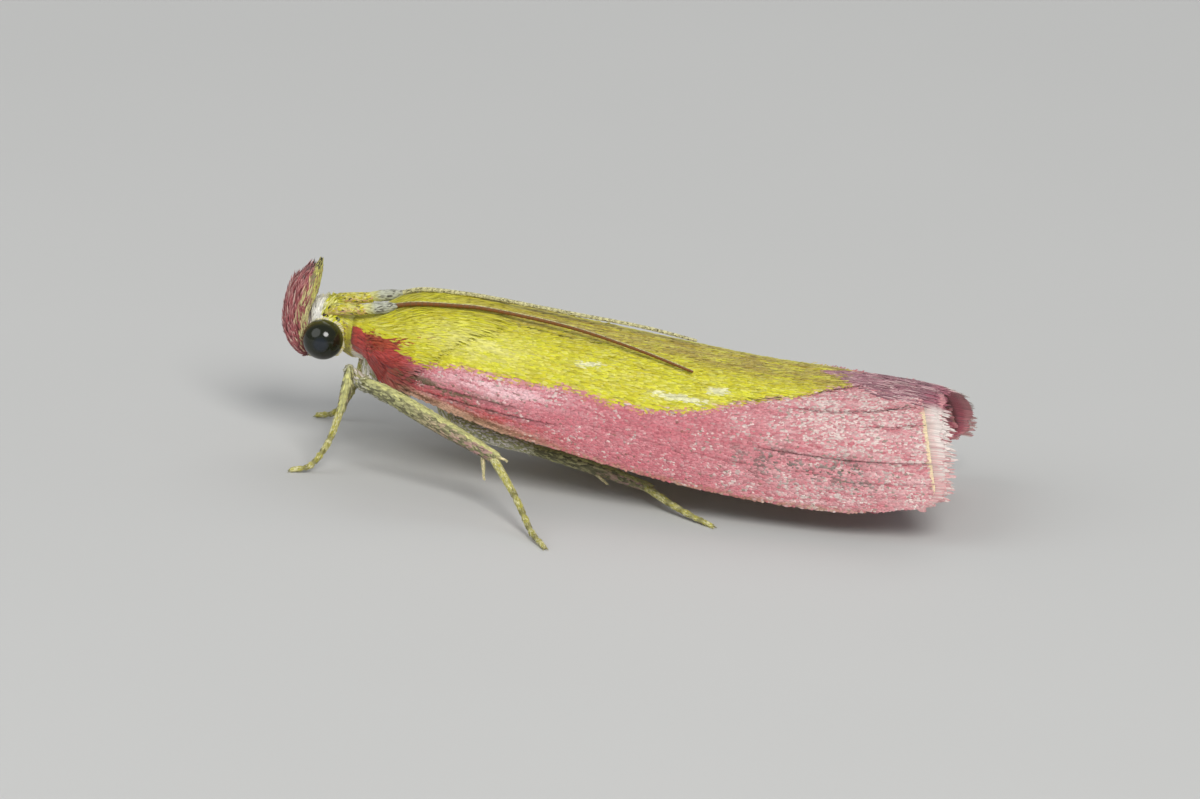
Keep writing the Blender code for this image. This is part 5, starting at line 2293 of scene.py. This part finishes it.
@dataclass
class Antenna(Sided):
    """Antenna laid back over the wing: thick scape, knot of scales and a long jointed flagellum."""

    scape: Path = (
        (-6.16, 0.34, 3.02, 0.09),
        (-6.02, 0.35, 3.10, 0.115),
        (-5.70, 0.38, 3.15, 0.115),
        (-5.40, 0.41, 3.19, 0.10),
    )
    knot: Path = (
        (-5.52, 0.41, 3.19, 0.07),
        (-5.28, 0.42, 3.23, 0.095),
        (-5.02, 0.43, 3.28, 0.10),
        (-4.84, 0.44, 3.33, 0.06),
    )
    reach: dict[Side, tuple[tuple[float, float], ...]] = field(default_factory=lambda: {
        Side.LEFT: ((-4.3, 17.0), (-3.6, 16.0), (-2.8, 14.8), (-1.2, 16.0), (0.2, 20.4), (1.47, 25.8)),
        Side.RIGHT: ((-4.3, 11.0), (-3.6, 5.5), (-2.8, 3.5), (-1.2, 3.5), (0.2, 5.0), (1.36, 8.0)),
    })
    clear: dict[Side, tuple[float, ...]] = field(default_factory=lambda: {
        Side.LEFT: (0.0, 0.05, 0.09, 0.12, 0.10, 0.03), Side.RIGHT: (0.0, 0.03, 0.05, 0.07, 0.10, 0.03),
    })
    joints: int = WHIP_JOINTS
    face: float = 58.0

    def flagellum(self) -> Tube:
        """Path of the flagellum just over the scales of the wing.

        Returns:
            The tube.
        """
        side = self.side
        x, angle = np.array(self.reach[self.which]).T
        radius = np.linspace(0.050, 0.032, len(x))
        lying = VAULT.point(1.0, x, angle, -np.array(self.clear[self.which]) - radius)
        rows = [(-5.45, 0.40, 3.16, 0.05), (-5.10, 0.42, 3.24, 0.05), (-4.72, 0.445, 3.37, 0.05)]
        rows += [(*place, size) for place, size in zip(lying.tolist(), radius.tolist())]
        return Tube(tuple(rows), side)

    def skin(self) -> Object:
        """Skin of scape, knot and flagellum, with a narrow waist at every joint.

        Returns:
            The object.
        """
        side = self.side
        whip = self.flagellum()
        shares = np.linspace(0.0, 1.0, self.joints * 4 + 1)
        rings = rings_of(whip.surface(), shares, 14)
        middle = rings.mean(axis=1, keepdims=True)
        waist = 1.0 - 0.12 * (np.arange(len(shares)) % 4 == 0)
        body = rings_to_body("whip", domed(middle + (rings - middle) * waist[:, None, None]))
        ring_map(body, 2.0 + np.concatenate([[0.0], shares, [1.0]]), 14, side * self.face)
        scape = tube_body("scape", Tube(self.scape, side), 16, 20)
        knot = tube_body("knot", Tube(self.knot, side), 14, 18, 1.0)
        return joined(f"antenna_{self.side_name}_skin", [scape, knot, body])

    def coat(self) -> Object:
        """Scales of scape and knot and the fine scales on top of the flagellum.

        Returns:
            The object.
        """
        side = self.side
        draw = np.random.default_rng(self.seed(101))
        pieces = []
        plan = (
            (Tube(self.scape, side), BladeForm.TILE, 30, 22, 0.10, 0.036, 6.0, 360.0, 0.0),
            (Tube(self.knot, side), BladeForm.HAIR, 28, 20, 0.16, 0.034, 7.0, 360.0, 0.0),
            (self.flagellum(), BladeForm.TILE, 8, 190, 0.055, 0.024, 5.0, 120.0, side * self.face),
        )
        for k, (tube, form, across, along, length, width, lift, spread, face) in enumerate(plan):
            s, t = jittered(draw, across, along)
            s, turn = 0.02 + 0.95 * s, spread * (t - 0.5) + face
            scales = Coat(
                f"scales_{k}", form, tube.surface(), s, turn, length * draw.uniform(0.8, 1.2, len(s)), width,
                lie_of(k + s, fold(turn - face)), np.column_stack([s, (k + t) / len(plan)]), seed=103 + k,
                outward=-1.0, step=(0.002, 1.0), lift=lift, yaw=draw.normal(0.0, 8.0, len(s)),
            )
            pieces.append(scales.build())
        return joined(f"antenna_{self.side_name}_scales", pieces)

    def build(self, skin: Material, scales: Material) -> None:
        """Build the antenna and dress it."""
        dress(self.skin(), skin, "antenna", f"antenna_{self.side_name}")
        dress(self.coat(), scales, "antenna")


# Legs


# Seed of each pair's random draws
LEG_SEEDS = {LegPair.FORE: 151, LegPair.MID: 141, LegPair.HIND: 151}


@dataclass
class Leg(Sided):
    """Leg in four joints with spurs and claws; each path is stations (x, y, z, radius)."""

    pair: LegPair
    paths: tuple[Path, ...]
    spurs: tuple[Path, ...] = ()
    tarsus_joints: tuple[float, ...] = TARSUS_JOINTS

    @property
    def name(self) -> str:
        """Name of the leg's node."""
        return f"leg_{self.pair.value}_{self.side_name}"

    def tubes(self) -> list[Tube]:
        """Tubes of the four joints and the spurs.

        Returns:
            The tubes, joints first.
        """
        side = self.side
        guides = {0: FORWARD, 2: self.guide, 3: self.guide}
        joints = [
            Tube(path, side, joints=self.tarsus_joints if k == 3 else (), guide=guides.get(k, UPWARD))
            for k, path in enumerate(self.paths)
        ]
        return joints + [Tube(path, side, guide=FORWARD) for path in self.spurs]

    @property
    def guide(self) -> Point:
        """Outer side of a steep fore leg, upper side of the others."""
        return (0.0, self.side, 0.0) if self.pair is LegPair.FORE else UPWARD

    def claws(self) -> list[Object]:
        """Two small curved claws at the end of the tarsus.

        Returns:
            The two objects.
        """
        side = self.side
        last, before = np.array(self.paths[3][-1][:3]), np.array(self.paths[3][-2][:3])
        ahead = unit((last - before)[None])[0] * [1.0, 1.0, 0.0]
        beside = np.array([-ahead[1], ahead[0], 0.0])
        pieces = []
        for turn in (-1.0, 1.0):
            rows = []
            for share, radius in ((0.0, 0.016), (0.45, 0.013), (1.0, 0.004)):
                spot = last + ahead * 0.09 * share + beside * turn * (0.015 + 0.045 * share)
                rows.append((*spot.tolist()[:2], float(last[2]) * (1.0 - 0.75 * share**2), radius))
            pieces.append(tube_body("claw", Tube(tuple(rows), side), 6, 8, 3.0))
        return pieces

    def skin(self) -> Object:
        """Skin of all joints, spurs and claws.

        Returns:
            The object.
        """
        pieces = [
            tube_body("joint", tube, 34 if k == 3 else 18, 16, float(min(k, 4)))
            for k, tube in enumerate(self.tubes())
        ]
        return joined(f"{self.name}_skin", pieces + self.claws())

    def coat(self) -> Object:
        """Small flat scales on every joint, a little longer on the tibia.

        Returns:
            The object.
        """
        seed = self.seed(LEG_SEEDS[self.pair])
        draw = np.random.default_rng(seed)
        pieces = []
        tubes = self.tubes()
        for k, tube in enumerate(tubes):
            rows = np.array(tube.stations)
            span = float(np.linalg.norm(np.diff(rows[:, :3], axis=0), axis=1).sum())
            girth = 2.0 * math.pi * float(rows[:, 3].mean())
            long = (0.14, 0.12, 0.15, 0.085)[k] if k < 4 else 0.07
            across = max(8, int(girth / (0.030 if k < 4 else 0.026)))
            along = max(6, int(span / (long * 0.42)))
            s, t = jittered(draw, across, along)
            first, last = tube.caps()
            s, turn = -0.7 * first + (0.98 + 0.7 * first + 0.45 * last) * s, 360.0 * t
            length = long * draw.uniform(0.75, 1.2, len(s))
            scales = Coat(
                f"scales_{k}", BladeForm.TILE, tube.surface(), s, turn, length, 0.040 if k < 3 else 0.030,
                lie_of(min(k, 4) + np.clip(s, 0.0, 1.0), fold(turn)), np.column_stack([s, (k + t) / len(tubes)]),
                seed=seed + k, outward=-1.0, step=(0.004, 1.0), lift=5.0 + 5.0 * draw.uniform(0, 1, len(s)) ** 3,
                yaw=draw.normal(0.0, 9.0, len(s)),
            )
            pieces.append(scales.build())
        return joined(f"{self.name}_scales", pieces)

    def build(self, skin: Material, scales: Material) -> None:
        """Build the leg and dress it."""
        dress(self.skin(), skin, "leg_scales", self.name)
        dress(self.coat(), scales, "leg_scales")


LEG_PATHS: dict[LegPair, tuple[Path, ...]] = {
    LegPair.FORE: (
        ((-5.24, 0.38, 2.24, 0.14), (-5.18, 0.52, 1.84, 0.17), (-5.06, 0.76, 1.63, 0.10)),
        ((-5.04, 0.74, 1.63, 0.10), (-5.26, 1.00, 1.80, 0.15), (-5.52, 1.31, 2.14, 0.10)),
        ((-5.52, 1.32, 2.20, 0.085), (-5.55, 1.43, 1.82, 0.105), (-5.60, 1.54, 1.44, 0.085)),
        (
            (-5.60, 1.53, 1.47, 0.075), (-5.80, 1.68, 0.72, 0.062),
            (-6.12, 1.76, 0.19, 0.055), (-6.50, 1.82, 0.052, 0.045),
        ),
    ),
    LegPair.MID: (
        ((-4.56, 0.42, 2.12, 0.16), (-4.50, 0.60, 1.64, 0.18), (-4.42, 0.92, 1.43, 0.10)),
        ((-4.40, 0.88, 1.44, 0.10), (-4.74, 1.50, 1.78, 0.15), (-5.10, 2.12, 2.18, 0.11)),
        ((-5.13, 2.14, 2.20, 0.11), (-4.60, 2.32, 2.07, 0.15), (-3.60, 2.60, 1.70, 0.17), (-2.28, 2.92, 1.20, 0.12)),
        (
            (-2.32, 2.90, 1.22, 0.085), (-1.70, 3.56, 0.62, 0.068),
            (-1.24, 4.30, 0.17, 0.058), (-0.88, 4.88, 0.052, 0.045),
        ),
    ),
    LegPair.HIND: (
        ((-3.68, 0.42, 2.04, 0.17), (-3.58, 0.58, 1.44, 0.20), (-3.40, 0.78, 1.10, 0.13)),
        ((-3.42, 0.76, 1.12, 0.12), (-2.60, 0.98, 0.98, 0.17), (-1.70, 1.14, 0.84, 0.11)),
        ((-1.74, 1.14, 0.85, 0.10), (-0.50, 1.26, 0.66, 0.14), (0.76, 1.46, 0.41, 0.09)),
        ((0.70, 1.45, 0.42, 0.075), (1.24, 1.80, 0.25, 0.064), (1.76, 2.12, 0.13, 0.055), (2.24, 2.39, 0.050, 0.042)),
    ),
}
SPURS: dict[LegPair, tuple[Path, ...]] = {
    LegPair.FORE: (),
    LegPair.MID: (
        ((-2.50, 2.88, 1.28, 0.050), (-2.24, 2.95, 1.23, 0.044), (-2.00, 3.01, 1.17, 0.014)),
        ((-2.50, 2.86, 1.20, 0.04), (-2.46, 2.92, 0.96, 0.036), (-2.42, 2.98, 0.74, 0.012)),
    ),
    LegPair.HIND: (
        ((0.66, 1.46, 0.40, 0.036), (0.90, 1.43, 0.32, 0.032), (1.10, 1.41, 0.26, 0.010)),
        ((-0.42, 1.27, 0.60, 0.036), (-0.22, 1.40, 0.48, 0.032), (-0.06, 1.50, 0.40, 0.010)),
    ),
}


# Room


@dataclass
class Room:
    """Floor, lights and camera."""

    azimuth: float = 6.0
    elevation: float = 18.5
    roll: float = 4.4
    scale: float = 48.9
    image: tuple[int, int] = (1200, 799)
    known_pixel: tuple[float, float] = (293.0, 472.0)
    known_place: Point = (-6.48, -1.8, 0.0)
    distance: float = 360.0
    sensor: float = 36.0
    clip: tuple[float, float] = (0.005, 20.0)
    lamp_distance: float = 0.3

    def camera(self) -> Object:
        """Camera at the photograph's viewing angle and framing.

        Returns:
            The camera.
        """
        a, e, r = (math.radians(value) for value in (self.azimuth, self.elevation, self.roll))
        right = Vector((math.cos(a), math.sin(a), 0.0))
        up = Vector((-math.sin(a) * math.sin(e), math.cos(a) * math.sin(e), math.cos(e)))
        back = right.cross(up)
        turned_right = right * math.cos(r) + up * math.sin(r)
        turned_up = up * math.cos(r) - right * math.sin(r)
        width = self.image[0] / self.scale
        shift_x = (self.image[0] / 2 - self.known_pixel[0]) / self.scale
        shift_y = (self.known_pixel[1] - self.image[1] / 2) / self.scale
        middle = Vector(self.known_place) + turned_right * shift_x + turned_up * shift_y
        data = bpy.data.cameras.new("camera")
        data.sensor_width = self.sensor
        data.lens = self.sensor * self.distance / width
        data.clip_start, data.clip_end = self.clip
        camera = bpy.data.objects.new("camera", data)
        bpy.context.scene.collection.objects.link(camera)
        frame_axes = Matrix((turned_right, turned_up, back)).transposed().to_4x4()
        camera.matrix_world = Matrix.Translation((middle + back * self.distance) * MM) @ frame_axes
        bpy.context.scene.camera = camera
        return camera

    def floor(self) -> None:
        """Plain pale floor with a rounded rim."""
        bpy.ops.mesh.primitive_circle_add(vertices=96, radius=1.2, fill_type="NGON")
        floor = bpy.context.object
        floor.name = "floor"
        with edit(floor) as mesh:
            for face in mesh.faces:
                face.select = True
            bpy.ops.mesh.inset(thickness=0.02)
        material, graph, surface = Finish("floor", roughness=0.7, specular=0.2, sheen=0.0).start()
        tone = graph.noise(graph.position(), 60.0, 2.0)
        graph.feed(surface.inputs["Base Color"], graph.mix(tone, (0.58, 0.58, 0.57), (0.61, 0.61, 0.60)))
        floor.data.materials.append(material)

    def light(
        self, name: str, azimuth: float, elevation: float, size: float, strength: float, colour: Colour
    ) -> None:
        """Soft round light that points at the moth.

        Args:
            name: name of the light.
            azimuth: direction round the moth, in degrees.
            elevation: angle above the floor, in degrees.
            size: width of the light in metres.
            strength: power in watts.
            colour: colour of the light.
        """
        data = bpy.data.lights.new(name, "AREA")
        data.shape = "DISK"
        data.size = size
        data.energy = strength
        data.color = colour
        lamp = bpy.data.objects.new(name, data)
        bpy.context.scene.collection.objects.link(lamp)
        a, e = math.radians(azimuth), math.radians(elevation)
        away = Vector((math.sin(a) * math.cos(e), -math.cos(a) * math.cos(e), math.sin(e)))
        away *= self.lamp_distance
        lamp.location = away
        lamp.rotation_euler = away.to_track_quat("Z", "Y").to_euler()

    def build(self) -> None:
        """Set up the whole room."""
        self.camera()
        self.floor()
        self.light("key light", 22.0, 42.0, 0.13, 0.60, (1.0, 0.985, 0.96))
        self.light("fill light", -50.0, 38.0, 0.26, 0.26, (0.95, 0.98, 1.0))
        self.light("back light", 165.0, 48.0, 0.22, 0.15, (1.0, 1.0, 1.0))
        world = bpy.data.worlds.new("room")
        bpy.context.scene.world = world
        world.use_nodes = True
        world.node_tree.nodes["Background"].inputs["Color"].default_value = (0.86, 0.88, 0.90, 1.0)
        world.node_tree.nodes["Background"].inputs["Strength"].default_value = 0.30
        bpy.context.scene.view_settings.view_transform = "Standard"


def main() -> None:
    """Build the moth and its room."""
    logging.basicConfig(level=logging.INFO, format="%(message)s")
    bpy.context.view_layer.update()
    Room().build()
    play = scale_play()
    wing, body, leg, antenna = wing_marks(), body_marks(), leg_marks(), antenna_marks()
    wing_skin = ScaledFinish("forewing skin", on_blades=False, dull=0.8, bump=0.3).build(wing, play)
    wing_scales = ScaledFinish("forewing scales", roughness=0.42, sheen=0.35).build(wing, play)
    fringe = RunFinish(
        "fringe", roughness=0.5, root=(0.72, 0.61, 0.49), middle=(0.66, 0.51, 0.47), tip=(0.70, 0.61, 0.57),
        turns=(0.16, 0.34, 0.45, 0.75), stray=COLOURS.blush, stray_share=0.10, far=(0.34, 0.10, 0.14),
        far_from=(0.27, 0.17), back=(0.62, 0.33, 0.33), back_from=(0.62, 0.85),
    ).build(play)
    ragged = RunFinish(
        "ragged hairs", root=(0.30, 0.10, 0.13), middle=COLOURS.mauve, tip=(0.48, 0.22, 0.26),
        turns=(0.05, 0.4, 0.6, 1.0), stray=(0.66, 0.44, 0.44), stray_share=0.18, span=0.6,
    ).build(play)
    lining = RunFinish(
        "wing lining", root=(0.30, 0.08, 0.09), middle=(0.52, 0.13, 0.17), tip=(0.62, 0.25, 0.27), stray=COLOURS.mauve,
    ).build(play)
    body_skin = ScaledFinish("body skin", on_blades=False, dull=0.8).build(body, play)
    body_scales = ScaledFinish("body scales", roughness=0.45, sheen=0.35).build(body, play)
    hind = PatternFinish("hindwing", first=COLOURS.buff, second=(0.38, 0.33, 0.26), roughness=0.6).build()
    eye_finish = EyeFinish("eye", roughness=0.12, specular=0.4, sheen=0.0, coat=0.15)
    rim = RunFinish(
        "eye rim", root=(0.40, 0.36, 0.16), middle=(0.66, 0.60, 0.36), tip=(0.80, 0.77, 0.60), stray=COLOURS.gold,
        turns=(0.05, 0.3, 0.4, 1.0),
    ).build(play)
    horn = PatternFinish("horn", first=(0.05, 0.018, 0.008), second=(0.02, 0.009, 0.005), roughness=0.25).build()
    bulb = PatternFinish("bulb", first=(0.22, 0.24, 0.13), second=(0.34, 0.34, 0.18), roughness=0.4).build()
    crest = RunFinish(
        "crest", root=(0.12, 0.03, 0.03), middle=(0.33, 0.085, 0.09), tip=(0.58, 0.28, 0.27),
        turns=(0.05, 0.5, 0.6, 1.0), stray=(0.60, 0.40, 0.34), stray_share=0.14, far=COLOURS.soot,
        far_from=(0.560, 0.568), back=(0.62, 0.56, 0.26),
    ).build(play)
    palp_tip = RunFinish(
        "palp tip", root=(0.30, 0.28, 0.06), middle=(0.50, 0.47, 0.12), tip=COLOURS.straw, turns=(0.05, 0.4, 0.6, 1.0),
        stray=(0.30, 0.10, 0.10), stray_share=0.12, far=COLOURS.soot, far_from=(0.556, 0.566),
    ).build(play)
    palp_skin = PatternFinish("palp skin", first=(0.24, 0.06, 0.07), second=(0.36, 0.12, 0.10)).build()
    leg_skin = ScaledFinish("leg skin", on_blades=False, dull=0.7).build(leg, play)
    leg_scales = ScaledFinish("leg scales").build(leg, play)
    antenna_skin = ScaledFinish("antenna skin", on_blades=False, roughness=0.35, sheen=0.0).build(antenna, play)
    antenna_scales = ScaledFinish("antenna scales").build(antenna, play)

    Body().build(body_skin, body_scales)
    for side in Side:
        Forewing(side).build(wing_skin, wing_scales, fringe, lining, ragged)
        Tegula(side).build(wing_skin, wing_scales)
        Hindwing(side).build(hind, hind)
        eye = Eye(side)
        eye.build(eye_finish.build(eye), rim, horn, bulb)
        Palp(side).build(palp_skin, crest, palp_tip)
        Antenna(side).build(antenna_skin, antenna_scales)
        for pair, paths in LEG_PATHS.items():
            Leg(side, pair, paths, SPURS[pair]).build(leg_skin, leg_scales)


if __name__ == "__main__":
    main()
